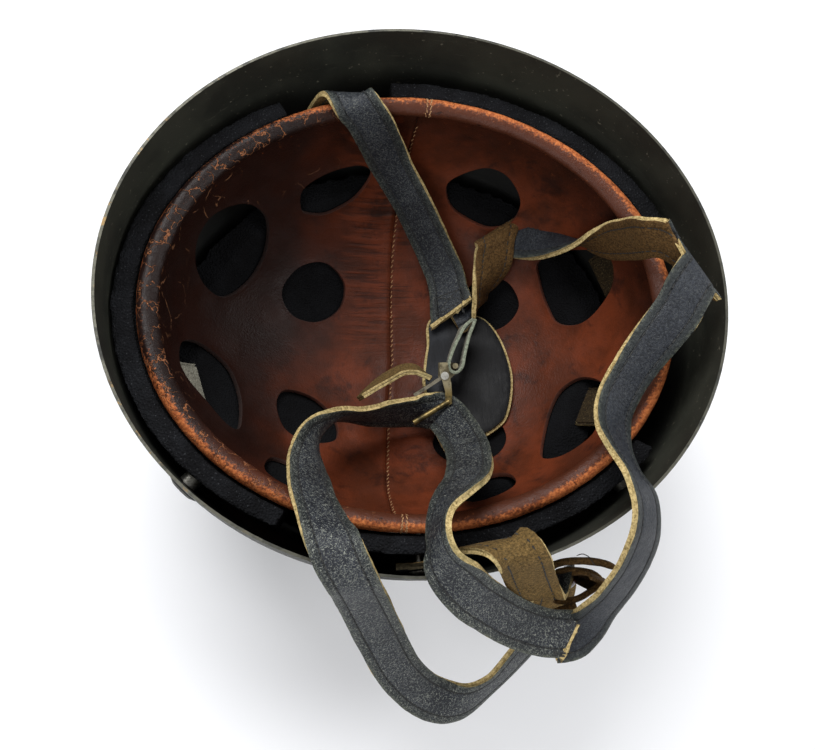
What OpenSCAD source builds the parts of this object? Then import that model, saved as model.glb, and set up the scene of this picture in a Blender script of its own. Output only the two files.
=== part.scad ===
// Paratrooper helmet lying on its crown, opening up, with its sewn leather liner and strap harness.
// Millimetres, +Z up. The origin is the middle of the flat on the crown, on the axis of the bowl.
// -X is the wearer's front, +X the rear, +Y the wearer's left, -Y the wearer's right.

/* [Shell] */
// Length of the shell across its rim, front to rear
shell_l = 280; // [274:1:290]
// Width of the shell across its rim
shell_w = 253; // [249:1:262]
// Depth of the shell from crown to rim
shell_h = 170; // [168:1:178]
// Thickness of the steel
shell_wall = 1.3; // [1:0.1:1.8]
// Fullness of the dome, where 2 is an ellipse
shell_fullness = 2.3; // [2.2:0.05:2.5]
// How much of the dome is pressed flat at the crown
crown_flat_depth = 0.6; // [0.4:0.05:0.8]

/* [Liner] */
// Distance from the outside of the shell's rim to the leather bowl, front and rear
liner_in_l = 20; // [19.5:0.5:22]
// The same distance at the sides
liner_in_w = 25.5; // [24.5:0.5:27.5]
// Depth of the liner's opening below the rim
liner_down = 30; // [29:1:34]
// Height of the leather's lowest point above the crown
liner_floor = 40; // [38:1:41]
// Fullness of the leather bowl, where 2 is an ellipse
liner_fullness = 2.15; // [2.1:0.05:2.2]
// Thickness of the leather
leather = 2.5; // [2:0.1:2.6]
// Radius of the rolled edge
roll_r = 4.5; // [4:0.1:4.6]
// Length of each of the eight large holes, down the wall
big_hole_l = 46; // [40:1:48]
// Width of each large hole, round the bowl
big_hole_w = 42; // [36:1:44]
// Diameter of each of the four small holes
small_hole_d = 34; // [30:1:36]

/* [Band and foam] */
// Height of the steel band that carries the liner
band_h = 26; // [22:1:27]
// Thickness of the band
band_t = 1; // [0.8:0.1:1.2]
// Thickness of the foam strips at their top
foam_t = 10.4; // [9:0.2:10.8]
// Height of the foam strips
foam_h = 39; // [34:1:42]
// Thickness of the pad behind the crown of the liner
pad_t = 12; // [8:0.5:16]
// Height of the pad's edge above the crown
pad_top = 78; // [70:1:80]

/* [Bolts and rivets] */
// Diameter of the hollow bolts' shanks
bolt_d = 5.8; // [5:0.1:6.4]
// Diameter of the bolt heads
bolt_head_d = 16; // [14:0.5:18]
// Diameter of the vent through each bolt
vent_d = 3; // [2:0.1:3.4]
// Diameter of the sleeves' flanges
flange_d = 13; // [11:0.5:14]
// Diameter of the rivets' shanks
rivet_d = 3; // [2.4:0.1:3.4]
// Diameter of the rivets' heads
rivet_head_d = 9; // [7:0.5:10]

/* [Straps] */
// Width of the straps
strap_w = 21; // [19:0.5:21]
// Thickness of the straps, two plies
strap_t = 3.4; // [2.8:0.1:3.5]
// Width of the leather tabs behind the liner's holes
tab_w = 22; // [18:0.5:24]
// Thickness of the small straps, tabs and flap plies
ply = 1.7; // [1.4:0.1:1.8]
// Width of the small loop that holds the buckle
loop_w = 11; // [9:0.5:11]
// Width of the pull tab
pull_w = 13; // [11:0.5:13]

/* [Buckle and button] */
// Thickness of the buckle's plates
plate_t = 1.6; // [1.4:0.1:1.7]
// Diameter of the buckle's pivot
pivot_d = 2.6; // [2.2:0.1:2.8]
// Diameter of the button
button_d = 19; // [17:0.5:20]
// Thickness of the button
button_t = 3; // [2.5:0.1:3.2]
// Diameter of the stud that the button turns on
stud_d = 4; // [3.6:0.1:4.4]

/* [Hidden] */

// Gap left between soft or curved neighbours
clear = 0.3;
// Gap round a pin or shank that turns
running = 0.05;
// Excess of a cutting tool past the face that it cuts
over = 1;
// Smoothness of the large round pieces
round_n = 96;
// Points along half a dome's outline
dome_n = 14;
// Sides of the rolled edge's section
roll_sides = 12;

steel_paint = [0.16, 0.17, 0.14];
bright_steel = [0.62, 0.62, 0.6];
brown_leather = [0.42, 0.2, 0.12];
strap_grey = [0.26, 0.29, 0.33];
suede = [0.42, 0.34, 0.2];
foam_black = [0.08, 0.08, 0.09];

shell_ratio = shell_w / shell_l;
liner_l = shell_l - 2 * liner_in_l;
liner_w = shell_w - 2 * liner_in_w;
liner_top = shell_h - liner_down;
liner_ratio = liner_w / liner_l;
liner_r = liner_l / 2;
liner_h = liner_top - liner_floor;
panel_top = liner_top - roll_r + 2.8;
roll_z = liner_top + 3;
roll_ring_r = liner_r + 1.5;
band_top = panel_top - clear;
band_bottom = band_top - band_h;
band_slope = 0.135;
band_off = 1.2;
tab_near = leather + band_off + band_t + 0.4;
foam_top = roll_z;
bolt_z = band_bottom + band_h / 2;
tab_bottom = pad_top + 2;
tab_top = band_bottom + band_h / 2;

// Vector helpers
function unit(v) = v / norm(v);
function clamp(i, n) = max(0, min(n - 1, i));

// Outline of half a dome from its lowest point to its edge, points [radius, height]
function dome(r, h, fullness, floor_z) =
    [for (i = [0:dome_n]) let (a = 90 * i / dome_n)
        [r * pow(sin(a), 2 / fullness), floor_z + h * (1 - pow(cos(a), 2 / fullness))]];

// The same outline cut off level at a height
function cut_dome(r, h, fullness, floor_z, top) =
    concat([for (p = dome(r, h, fullness, floor_z)) if (p[1] < top - 4) p],
           [[r * pow(1 - pow((floor_z + h - top) / h, fullness), 1 / fullness), top]]);

// Radius of the shell's inner face at a height, front and rear
function shell_in(z) = shell_l / 2 * pow(1 - pow((shell_h - z) / shell_h, shell_fullness), 1 / shell_fullness)
    - shell_wall;

function flip(list) = [for (i = [len(list) - 1:-1:0]) list[i]];

// Height of the leather's inner face over a place in plan, and its outward normal there
function rho(x, y) = norm([x / liner_r, y / (liner_r * liner_ratio)]);
function bowl_z(x, y) = liner_top - liner_h * pow(1 - pow(rho(x, y), liner_fullness), 1 / liner_fullness);
function bowl_point(x, y) = [x, y, bowl_z(x, y)];
function bowl_normal(x, y) =
    let (k = pow(rho(x, y), liner_fullness - 2), w = (liner_top - bowl_z(x, y)) / liner_h)
    unit([k * x / pow(liner_r, 2), k * y / pow(liner_r * liner_ratio, 2),
          -pow(w, liner_fullness - 1) / liner_h]);

// Place on the shell's outer face at an azimuth and a height, and its outward normal there
function shell_r(z) = shell_l / 2 * pow(1 - pow((shell_h - z) / shell_h, shell_fullness), 1 / shell_fullness);
function shell_point(az, z) =
    let (k = shell_r(z) / norm([cos(az), sin(az) / shell_ratio])) [k * cos(az), k * sin(az), z];
function shell_normal(p) =
    let (a = shell_l / 2, b = shell_w / 2, q = norm([p[0] / a, p[1] / b]), w = (shell_h - p[2]) / shell_h)
    unit([pow(q, shell_fullness - 2) * p[0] / pow(a, 2), pow(q, shell_fullness - 2) * p[1] / pow(b, 2),
          -pow(w, shell_fullness - 1) / shell_h]);

// Radius of the band's inner face at a height, before the width is scaled
function band_r(z) = liner_r + leather + band_off - (band_top - z) * band_slope;
// How far a point lies outside the band's outer face
function off_band(p) = norm([p[0], p[1] / liner_ratio]) - band_r(p[2]) - band_t;
// Distance from a point to the band along a direction, found by stepping
function to_band(p, n, d = 0, i = 0) = i > 7 ? d : to_band(p, n, d + off_band(p - d * n), i + 1);

// Points on a curve through four stations
function curve(a, b, c, d, t) =
    0.5 * (2 * b + (c - a) * t + (2 * a - 5 * b + 4 * c - d) * t * t + (3 * b - a - 3 * c + d) * t * t * t);
function smooth(list, k, n) =
    concat([for (i = [0:len(list) - 2]) for (j = [0:n - 1])
                curve(list[clamp(i - 1, len(list))][k], list[i][k], list[i + 1][k],
                      list[clamp(i + 2, len(list))][k], j / n)],
           [list[len(list) - 1][k]]);
// Four corners of a strap's section
function section(c, along, across, w, t) =
    let (d = unit(along), a = unit(across - (across * d) * d), n = cross(d, a))
    [c - a * w / 2 - n * t / 2, c + a * w / 2 - n * t / 2,
     c + a * w / 2 + n * t / 2, c - a * w / 2 + n * t / 2];

// A strap swept through stations [middle, direction across]
module strap(stations, w, t, steps = 3) {
    mid = smooth([for (s = stations) [fitted(s[0])]], 0, steps);
    across = smooth(stations, 1, steps);
    last = len(mid) - 1;
    points = [for (i = [0:last])
        each section(mid[i], mid[min(i + 1, last)] - mid[max(i - 1, 0)], across[i], w, t)];
    sides = [for (i = [0:last - 1]) for (j = [0:3]) let (a = 4 * i + j, b = 4 * i + (j + 1) % 4)
        each [[a, b, b + 4], [a, b + 4, a + 4]]];
    ends = [[2, 1, 0], [3, 2, 0], [4 * last, 4 * last + 1, 4 * last + 2],
            [4 * last, 4 * last + 2, 4 * last + 3]];
    polyhedron(points, concat(sides, ends), convexity = 10);
}

// Length, width and height of the shell that the routes below are drawn for, and places that they lead to
drawn_shell = [280, 253, 170];
drawn_pivot = [24.8, -15.9, 72];
drawn_button = [64.2, -126.1, 120.8];
// How a drawn place moves with the shell: in proportion in plan, and wholly above the liner's opening
function gain(p) = [p[0] * (shell_l / drawn_shell[0] - 1), p[1] * (shell_w / drawn_shell[1] - 1),
    (shell_h - drawn_shell[2]) * min(1, p[2] / (drawn_shell[2] - liner_down))];
function share(p, c, near, far) = max(0, min(1, (far - norm(p - c)) / (far - near)));
// Near the buckle and the button everything moves together
function fitted(p) = let (a = share(p, drawn_pivot, 48, 90), b = share(p, drawn_button, 27, 60))
    p + (1 - a - b) * gain(p) + a * gain(drawn_pivot) + b * gain(drawn_button);

// Straps' routes: middle of the strap, then the direction across it
front_strap_route = [
    [[-42, 98.5, 113], [0.9, 0.35, 0]],
    [[-41, 100.5, 124], [0.9, 0.35, 0]],
    [[-40, 103.5, 133], [0.9, 0.4, 0]],
    [[-37, 105, 142], [0.9, 0.4, 0]],
    [[-30, 104, 151], [1, 0.2, 0]],
    [[-24.1, 99.4, 153], [1, 0.2, 0.3]],
    [[-18.4, 91.8, 144], [1, 0.2, 0.5]],
    [[-11.2, 89, 126], [1, 0.2, 0.62]],
    [[-4, 86, 108], [1, 0.1, 0.65]],
    [[7, 76, 92], [1, 0, 0.6]],
    [[17, 65, 76], [1, 0, 0.55]],
    [[25, 53, 66], [1, 0, 0.5]],
    [[30, 41, 62], [1, 0.1, 0.45]],
    [[32.8, 17.7, 60.9], [0.9, 0.3, 0.4]]];

nape_route = [
    [[32.9, 21.9, 56.3], [0.4, -0.8, 0.1]],
    [[43.6, 25, 56.9], [0.2, -0.8, 0.25]],
    [[47, 31, 67], [-0.1, -0.6, 0.8]],
    [[47, 41, 76], [0.2, -0.8, 0.6]],
    [[50, 47, 84], [0.4, -0.9, 0.2]],
    [[56, 50, 92], [0.3, -0.9, 0.1]],
    [[61, 52, 98], [-0.1, -1, 0.2]],
    [[69, 49, 104], [-0.2, -1, 0.1]],
    [[80, 45, 110], [-0.4, -0.8, 0.5]],
    [[89, 41, 119], [-0.3, -0.6, 0.7]],
    [[95.3, 36.2, 132], [-0.3, 0, 1]],
    [[103.5, 30.3, 149], [-0.3, 0.4, 0.9]],
    [[111.6, 28.6, 161], [-0.4, 0.4, 0.8]],
    [[118, 22, 170], [-0.3, 0.2, 0.9]],
    [[123, 12, 176], [0.2, -0.4, 0.5]],
    [[124, 3, 178], [0.5, -0.9, 0]],
    [[118, -8, 175], [0.7, -0.7, 0]],
    [[113, -16, 172], [0.6, -0.8, 0]],
    [[108.2, -20.5, 167], [0.89, -0.44, -0.07]],
    [[97.7, -34, 161], [0.93, -0.18, -0.31]],
    [[89.7, -46.7, 158], [0.92, 0, -0.38]],
    [[84.6, -59.2, 161], [0.79, 0.12, -0.6]],
    [[82.8, -72.3, 170], [0.66, 0.07, -0.75]],
    [[84.8, -85, 178], [0.55, 0.13, -0.83]],
    [[87.9, -97.4, 182], [0.68, 0.2, -0.7]],
    [[89.1, -109.7, 176], [0.73, 0.11, -0.68]],
    [[88.8, -121.1, 161], [0.77, 0.03, -0.63]],
    [[85.5, -131.9, 145], [0.78, -0.07, -0.62]],
    [[79.2, -142.6, 131], [0.61, -0.42, -0.67]],
    [[66, -148, 125.5], [-0.5, -0.9, 0]],
    [[57, -150, 126], [-0.5, -0.9, 0]]];

chin_route = [
    [[61, -149.5, 130.5], [-0.5, -0.9, 0]],
    [[51, -148, 134], [-0.4, -0.9, 0]],
    [[36.2, -143.3, 146], [-0.46, -0.88, -0.11]],
    [[25.4, -138.3, 158], [-0.44, -0.83, -0.34]],
    [[15.2, -132.6, 170], [-0.41, -0.74, -0.53]],
    [[6.3, -124.2, 180], [-0.34, -0.56, -0.76]],
    [[1.6, -114.9, 184], [-0.23, -0.25, -0.94]],
    [[2.6, -105, 180], [-0.23, -0.16, -0.96]],
    [[10.6, -92.6, 166], [-0.46, 0.07, -0.89]],
    [[21.7, -80, 143], [-0.58, 0.17, -0.8]],
    [[27.1, -67.3, 119], [-0.69, 0.09, -0.72]],
    [[28.5, -53.3, 94], [-0.86, -0.09, -0.51]],
    [[24.2, -37.3, 72.4], [-0.77, -0.17, -0.62]],
    [[16, -34, 66.2], [-0.4, -0.53, -0.75]],
    [[4.8, -34.4, 66], [0.02, -0.45, -0.89]],
    [[-12.2, -36.9, 74], [0.13, -0.19, -0.97]],
    [[-31.4, -40.7, 87], [0.18, 0.16, -0.97]],
    [[-43.8, -52.7, 103], [0.26, 0.16, -0.95]],
    [[-48.5, -69, 125], [0.43, 0.15, -0.89]],
    [[-48, -86, 151], [0.61, 0.14, -0.78]],
    [[-44.9, -99, 168], [0.74, 0.2, -0.64]],
    [[-41, -110, 179], [1, 0, 0]],
    [[-37, -120, 179], [1, 0.1, 0.1]],
    [[-32, -128, 170], [1, 0.1, 0.1]],
    [[-28, -133, 156], [1, 0.1, 0.1]],
    [[-19, -146, 128], [0.9, 0.3, 0.1]],
    [[-7, -164, 100], [0.8, 0.6, 0.1]],
    [[9, -177, 79], [0.6, 0.8, 0]],
    [[26, -181, 71], [0.2, 0.8, 0.6]],
    [[42, -173, 69], [-0.2, 0.4, 0.9]],
    [[55, -160, 75], [0.2, 0.6, 0.7]],
    [[65, -147, 84], [0.7, 0.6, 0.3]],
    [[69, -135, 94], [0.9, 0.4, 0.2]],
    [[68, -127, 106], [0.9, 0.36, 0.24]],
    [[63.5, -124, 120.4], [0.9, 0.36, 0.24]],
    [[57, -125, 137], [0.9, 0.36, 0.24]],
    [[51, -127, 152], [0.9, 0.4, 0.2]],
    [[46, -128, 166], [0.85, 0.45, 0.2]],
    [[39.3, -121.2, 180.8], [0.8, 0.5, 0.1]],
    [[31, -112.6, 175], [0.55, 0.15, 0.75]],
    [[22, -115.2, 159.8], [0.2, 0.1, 0.9]],
    [[12, -118, 143], [0, 0, 1]],
    [[2, -119, 132], [0, 0, 1]],
    [[-8, -119, 129], [0, 0, 1]]];

// The small loop that holds the buckle, and the tab that pulls its lever
loop_route = [
    [[39.4, 14.4, 69], [-0.1, -0.3, 1]],
    [[35, 9, 72], [-0.1, -0.3, 1]],
    [[29.5, -2, 74], [-0.1, -0.3, 1]],
    [[27, -9.5, 74], [-0.1, -0.3, 1]],
    [[27.6, -13, 73.2], [-0.1, -0.3, 1]],
    [[30.8, -14.2, 73.2], [-0.1, -0.3, 1]],
    [[33.6, -11.6, 74.3], [-0.1, -0.3, 1]],
    [[35, -6.5, 74.5], [-0.1, -0.3, 1]],
    [[37.6, 3, 73.5], [-0.1, -0.3, 1]],
    [[41.8, 13.4, 71], [-0.1, -0.3, 1]]];
pull_route = [
    [[17.5, -17.8, 72], [-0.1, 0, 1]],
    [[13.8, -15.6, 72], [-0.1, 0, 1]],
    [[8.8, -13, 72], [-0.1, 0, 1]],
    [[2.2, -13.9, 72], [-0.1, 0, 1]],
    [[-5.3, -17.7, 72], [-0.1, 0, 1]],
    [[-13, -22.6, 72.2], [-0.1, 0, 1]],
    [[-20, -27.9, 72.5], [-0.1, 0, 1]]];

// The button stands on the outer face of the chin strap, where the strap comes down outside the shell
button_place = fitted(drawn_button);
button_turn = [0, 78, -71];
// The tab's far end reaches for the nape strap; its direction across lies in the button's plane
button_across = [-0.34, 0.09, 0.93];
hole_tab_route = [
    [[55.1, -131.8, 118.1], button_across],
    [[64.7, -127.8, 121.2], button_across],
    [[74.4, -123.8, 124.4], button_across],
    [[80, -125, 130], [-0.4, 0, 0.9]],
    [[82, -128.5, 136], [-0.6, 0, 0.7]]];

// The wrap under the right joint
wrap_route = [
    [[76, -146, 119.7], [-0.4, -0.9, 0.1]],
    [[68, -148, 120.2], [-0.5, -0.9, 0.1]],
    [[59, -151, 120.2], [-0.5, -0.9, 0.1]]];

// The buckle's middle plane faces up, its first axis to the right rear
pivot_place = fitted(drawn_pivot);
buckle_tilt = [15, -7, -2];
buckle_gap = 12.6;
lever_reach = 19;
lever_angle = 213;
lever_t = 1.8;
crossbar_start = [2.2, -13.5, 7.1];
crossbar_end = [-16.3, -24.5, 10.5];
crossbar_d = 3;
loop_pin = [5.6, 5.2];

// The flap hangs from this line under the left joint
guard_place = fitted([35, 18, 51.8]);
guard_tilt = [-6.8, -6.8, 0];
guard_outline = [[-15, 1], [-15.5, -11], [-17.5, -23], [-18.5, -35], [-15, -49], [-6, -61], [4, -66.5],
                 [13, -65], [21, -60], [26, -54], [29.5, -41], [30, -29], [27, -14], [21, -1], [12, 6], [-8, 7]];

// Holes through the leather: places in plan
big_holes = [[47, 80], [-32, 83], [-87, 48], [-97, -23], [-60, -68], [48, -80], [89, -42], [96, 30]];
small_holes = [[56, 30], [-43.5, 37], [-48, -32], [40, -47.5]];
bolt_azimuths = [38, -40, 142, -142];
tab_azimuths = [17, -19, -168];
tab_rivet_z = band_top - 20;
front_rivet_z = band_top - 18;
chin_rivet_z = band_top - 8;
tab_rivet_d = 7;
// How far outside the band the heads of the strap rivets sit
front_rivet_reach = 5.5;
chin_rivet_reach = 17;
spigot_d = 8;
sleeve_d = 9;
flange_t = 1.2;
bolt_reach = 10;
bolt_head_h = 2.2;
key_hole_d = 1.8;
seam_gap = 0.2;
foam_gap = 0.5;
hole_tab_w = 14;
button_lift = 3;
stud_in = 2;
flange_h = 0.4;
spacer = [-1.4, 5.2];
near_plate = [[-2.6, 6.9], [-2.8, 3], [-2.4, 0], [-1.2, -3], [0.2, -8], [0.4, -13.5], [1, -16],
              [3.8, -14.5], [3.8, -9], [3.4, -4], [2.6, 0], [2.2, 3], [1.4, 6.9]];
far_plate = [[-3, 7], [-3, -2], [2.4, -2.6], [7.6, 2.2], [7.6, 6.6], [2, 7.4]];

module on_buckle() { translate(pivot_place) rotate(buckle_tilt) children(); }

// Turns +Z to a direction
module aim(p, n) { translate(p) rotate([0, acos(n[2]), atan2(n[1], n[0])]) children(); }

// A full turn of an outline, in two halves, drawn in to the bowl's width
module oval_turn(ratio, first = 0) {
    for (half = [first, first + 180]) scale([1, ratio, 1]) rotate([0, 0, half])
        rotate_extrude(angle = 180, $fn = round_n) children();
}

module shell_bolt_places() {
    for (az = bolt_azimuths) {
        p = shell_point(az, bolt_z);
        n = shell_normal(p);
        $to_band = to_band(p, n);
        aim(p, n) children();
    }
}

module shell() {
    outside = dome(shell_l / 2, shell_h + crown_flat_depth, shell_fullness, -crown_flat_depth);
    inside = dome(shell_l / 2 - shell_wall, shell_h - shell_wall, shell_fullness, shell_wall);
    color(steel_paint) difference() {
        oval_turn(shell_ratio) polygon(concat(outside, flip(inside)));
        translate([-shell_l / 2, -shell_w / 2, -10]) cube([shell_l, shell_w, 10]);
        shell_bolt_places() cylinder(h = 12, d = bolt_d + 4 * running, center = true, $fn = 32);
    }
}

module liner_band() {
    color(bright_steel) difference() {
        oval_turn(liner_ratio, 65) polygon([
            [band_r(band_bottom), band_bottom], [band_r(band_bottom) + band_t, band_bottom],
            [band_r(band_top) + band_t, band_top], [band_r(band_top), band_top]]);
        shell_bolt_places() translate([0, 0, -$to_band - 6])
            cylinder(h = 12, d = spigot_d + 2 * running, $fn = 32);
        front_rivet_place() rivet_hole();
        chin_rivet_place() rivet_hole();
        for (az = tab_azimuths) on_band(az, tab_rivet_z) rivet_hole();
    }
}

// Sleeves riveted through the band, which the hollow bolts screw into
module band_sleeves() {
    color(bright_steel) shell_bolt_places() difference() {
        union() {
            translate([0, 0, -$to_band - band_t]) cylinder(h = band_t + 1.5, d = spigot_d, $fn = 32);
            translate([0, 0, -$to_band + 0.5]) cylinder(h = flange_t, d = flange_d, $fn = 40);
            translate([0, 0, -$to_band + 1])
                cylinder(h = $to_band - shell_wall - 1.5, d = sleeve_d, $fn = 32);
        }
        translate([0, 0, -$to_band - band_t - over])
            cylinder(h = $to_band + over, d = bolt_d + 2 * running, $fn = 32);
    }
}

module vented_bolts() {
    color(steel_paint) shell_bolt_places() difference() {
        rotate_extrude($fn = 40) polygon([
            [vent_d / 2, -bolt_reach], [bolt_d / 2, -bolt_reach], [bolt_d / 2, running],
            [bolt_head_d / 2, running], [bolt_head_d / 2, bolt_head_h / 2],
            [bolt_head_d / 2 - 2.5, bolt_head_h], [vent_d / 2, bolt_head_h]]);
        for (side = [-1, 1]) translate([side * bolt_head_d * 0.3, 0, bolt_head_h - 1])
            cylinder(h = 1 + over, d = key_hole_d, $fn = 20);
    }
}

// A rivet through the band: its shank, and a head at a distance outside the band
module rivet(reach, head_d) {
    rotate_extrude($fn = 32) polygon([
        [0, -band_t], [rivet_d / 2, -band_t], [rivet_d / 2, reach], [head_d / 2, reach],
        [head_d / 2, reach + 0.5], [head_d / 2 - 1.5, reach + 1.3], [0, reach + 1.5]]);
}

module rivet_hole() { translate([0, 0, -2]) cylinder(h = 24, d = rivet_d + 2 * running, $fn = 24); }

// A place on the band's outer face, +Z straight out
module on_band(az, z) {
    k = (band_r(z) + band_t) / norm([cos(az), sin(az) / liner_ratio]);
    p = [k * cos(az), k * sin(az), z];
    aim(p, unit([p[0], p[1] / pow(liner_ratio, 2), 0])) children();
}

module front_rivet_place() { on_band(112.5, front_rivet_z) children(); }

module chin_rivet_place() { on_band(-90, chin_rivet_z) children(); }

module strap_rivets() {
    color(bright_steel) front_rivet_place() rivet(front_rivet_reach, rivet_head_d);
    color(bright_steel) chin_rivet_place() rivet(chin_rivet_reach, rivet_head_d);
}

module tab_rivets() {
    color(bright_steel) for (az = tab_azimuths) on_band(az, tab_rivet_z) rivet(3.7, tab_rivet_d);
}

module big_hole_tools() {
    for (h = big_holes) aim(bowl_point(h[0], h[1]), bowl_normal(h[0], h[1]))
        scale([big_hole_l / 2, big_hole_w / 2, 1]) cylinder(h = 24, r = 1, center = true, $fn = 48);
}

module small_hole_tools() {
    for (h = small_holes) aim(bowl_point(h[0], h[1]), bowl_normal(h[0], h[1]))
        cylinder(h = 16, d = small_hole_d, center = true, $fn = 48);
}

// A bowl-shaped wall from one distance off the leather's inner face to another, level at its top
module bowl_wall(near, far, top) {
    oval_turn(liner_ratio) polygon(concat(
        cut_dome(liner_r + far, liner_h + far, liner_fullness, liner_floor - far, top),
        flip(cut_dome(liner_r + near, liner_h + near, liner_fullness, liner_floor - near, top))));
}

module liner_half(front) {
    color(brown_leather) difference() {
        bowl_wall(0, leather, panel_top);
        big_hole_tools();
        small_hole_tools();
        translate([front ? -seam_gap / 2 : seam_gap / 2 - shell_l, -shell_w, 0])
            cube([shell_l, 2 * shell_w, shell_h]);
    }
}

module liner_panel_front() { liner_half(true); }

module liner_panel_rear() { liner_half(false); }

module liner_edge_roll() {
    color(brown_leather) oval_turn(liner_ratio)
        translate([roll_ring_r, roll_z]) circle(r = roll_r, $fn = roll_sides);
}

// Strip of foam round part of the liner, between two azimuths
module foam_strip(from, to) {
    low = foam_top - foam_h;
    behind = band_t + clear;
    room = shell_in(low) - foam_gap;
    a = atan2(sin(from) / liner_ratio, cos(from));
    b = atan2(sin(to) / liner_ratio, cos(to));
    roll_back = roll_ring_r + roll_r + clear;
    color(foam_black) difference() {
        scale([1, liner_ratio, 1]) rotate([0, 0, a])
            rotate_extrude(angle = b > a ? b - a : b - a + 360, $fn = round_n) polygon([
                [band_r(low) + behind, low], [min(band_r(low) + behind + foam_t, room), low],
                [min(roll_back + foam_t, shell_in(foam_top) - foam_gap), foam_top], [roll_back, foam_top],
                [roll_back, band_top],
                [band_r(band_top) + behind, band_top]]);
        shell_bolt_places() translate([0, 0, -$to_band - 4])
            cylinder(h = $to_band + 4, d = flange_d + 2 * clear, $fn = 32);
        for (az = tab_azimuths) tab_body(az, clear);
        for (az = tab_azimuths) on_band(az, tab_rivet_z) cylinder(h = 8, d = tab_rivet_d + 2 * clear, $fn = 24);
        chin_rivet_place() rivet_hole();
    }
}

module foam_front() { foam_strip(121, 238); }

module foam_right() { foam_strip(245, 328); }

module foam_left() { foam_strip(18, 94); }

module crown_pad() { color(foam_black) bowl_wall(leather + 0.4, leather + 0.4 + pad_t, pad_top); }

// A leather end that hangs from the band behind one of the holes
module tab_body(az, extra) {
    intersection() {
        bowl_wall(tab_near - extra, tab_near + ply + extra, tab_top + extra);
        rotate([0, 0, az]) translate([liner_r / 2, -tab_w / 2 - extra, tab_bottom - extra])
            cube([liner_r, tab_w + 2 * extra, tab_top - tab_bottom + 2 * extra + over]);
    }
}

module anchor_tab(az) {
    color(suede) difference() {
        tab_body(az, 0);
        on_band(az, tab_rivet_z) rivet_hole();
    }
}

module anchor_tab_rear_left() { anchor_tab(tab_azimuths[0]); }

module anchor_tab_rear_right() { anchor_tab(tab_azimuths[1]); }

module anchor_tab_front_right() { anchor_tab(tab_azimuths[2]); }

module left_front_strap() {
    color(strap_grey) difference() {
        strap(front_strap_route, strap_w, strap_t);
        front_rivet_place() rivet_hole();
    }
}

module nape_strap() { color(strap_grey) strap(nape_route, strap_w, strap_t); }

module chin_strap() {
    color(strap_grey) difference() {
        strap(chin_route, strap_w, strap_t);
        chin_rivet_place() rivet_hole();
    }
}

module joint_wrap() { color(strap_grey) strap(wrap_route, strap_w, ply); }

module on_button() { translate(button_place) rotate(button_turn) children(); }

module buttonhole_tab() {
    color(suede) difference() {
        strap(hole_tab_route, hole_tab_w, ply, 4);
        on_button() cylinder(h = 6, d = stud_d + 2 * clear, $fn = 32);
    }
}

module button_stud() {
    color(bright_steel) on_button() {
        translate([0, 0, clear / 3]) cylinder(h = flange_h, d = stud_d + 4, $fn = 40);
        translate([0, 0, clear]) cylinder(h = button_lift + stud_in, d = stud_d, $fn = 32);
    }
}

// A domed button, hollow below where it turns on the stud
module button() {
    color([0.3, 0.12, 0.08]) on_button() translate([0, 0, button_lift]) difference() {
        rotate_extrude($fn = 64) polygon([
            [0, 0], [button_d / 2 - 0.8, 0], [button_d / 2, 0.8], [button_d / 2 - 0.3, button_t * 0.5],
            [button_d / 2 - 2.5, button_t * 0.8], [button_d / 4, button_t * 0.95], [0, button_t]]);
        translate([0, 0, -over]) cylinder(h = over + stud_in + clear * 2, d = stud_d + 2 * running, $fn = 32);
    }
}

module buckle_loop() { color(suede) strap(loop_route, loop_w, ply, 4); }

module buckle_plate(outline, z) {
    translate([0, 0, z]) linear_extrude(plate_t) difference() {
        polygon(outline);
        circle(d = pivot_d + 2 * running, $fn = 32);
    }
}

module buckle_frame() {
    bar = crossbar_end - crossbar_start;
    color(bright_steel) on_buckle() union() {
        buckle_plate(near_plate, buckle_gap / 2);
        buckle_plate(far_plate, -buckle_gap / 2 - plate_t);
        aim(crossbar_start, unit(bar)) cylinder(h = norm(bar), d = crossbar_d, $fn = 32);
        translate([spacer[0], spacer[1], -buckle_gap / 2 - 0.5]) cylinder(h = buckle_gap + 1, d = 2.2, $fn = 24);
        translate([loop_pin[0], loop_pin[1], -buckle_gap / 2 - 0.5])
            cylinder(h = buckle_gap - 0.5, d = 3, $fn = 24);
    }
}

module buckle_pin() {
    half = buckle_gap / 2 + plate_t + clear / 3;
    color(bright_steel) on_buckle() {
        translate([0, 0, -half]) cylinder(h = 2 * half, d = pivot_d, $fn = 32);
        for (side = [-1, 1]) translate([0, 0, side > 0 ? half : -half - 0.7])
            cylinder(h = 0.7, d = pivot_d + 1.6, $fn = 32);
    }
}

module buckle_lever() {
    long = buckle_gap - 2 * clear;
    color(bright_steel) on_buckle() difference() {
        union() {
            cylinder(h = long, d = pivot_d + 2.6, center = true, $fn = 32);
            rotate([0, 0, lever_angle]) translate([1.5, -lever_t / 2, -long / 2 + 2])
                cube([lever_reach - 1.5, lever_t, long - 2.4]);
        }
        cylinder(h = long + 2 * over, d = pivot_d + 2 * running, center = true, $fn = 32);
    }
}

module pull_tab() { color(suede) strap(pull_route, pull_w, 1.7 * ply, 4); }

function ring_curve(list, n) = let (m = len(list))
    [for (i = [0:m - 1]) for (j = [0:n - 1])
        curve(list[(i + m - 1) % m], list[i], list[(i + 1) % m], list[(i + 2) % m], j / n)];

module guard_ply(z) {
    translate(guard_place) rotate(guard_tilt) translate([0, 0, z])
        linear_extrude(ply - 0.05) polygon(ring_curve(guard_outline, 3));
}

module ear_guard_outer() { color(strap_grey) guard_ply(0.05); }

module ear_guard_lining() { color(suede) guard_ply(-ply); }

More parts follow.
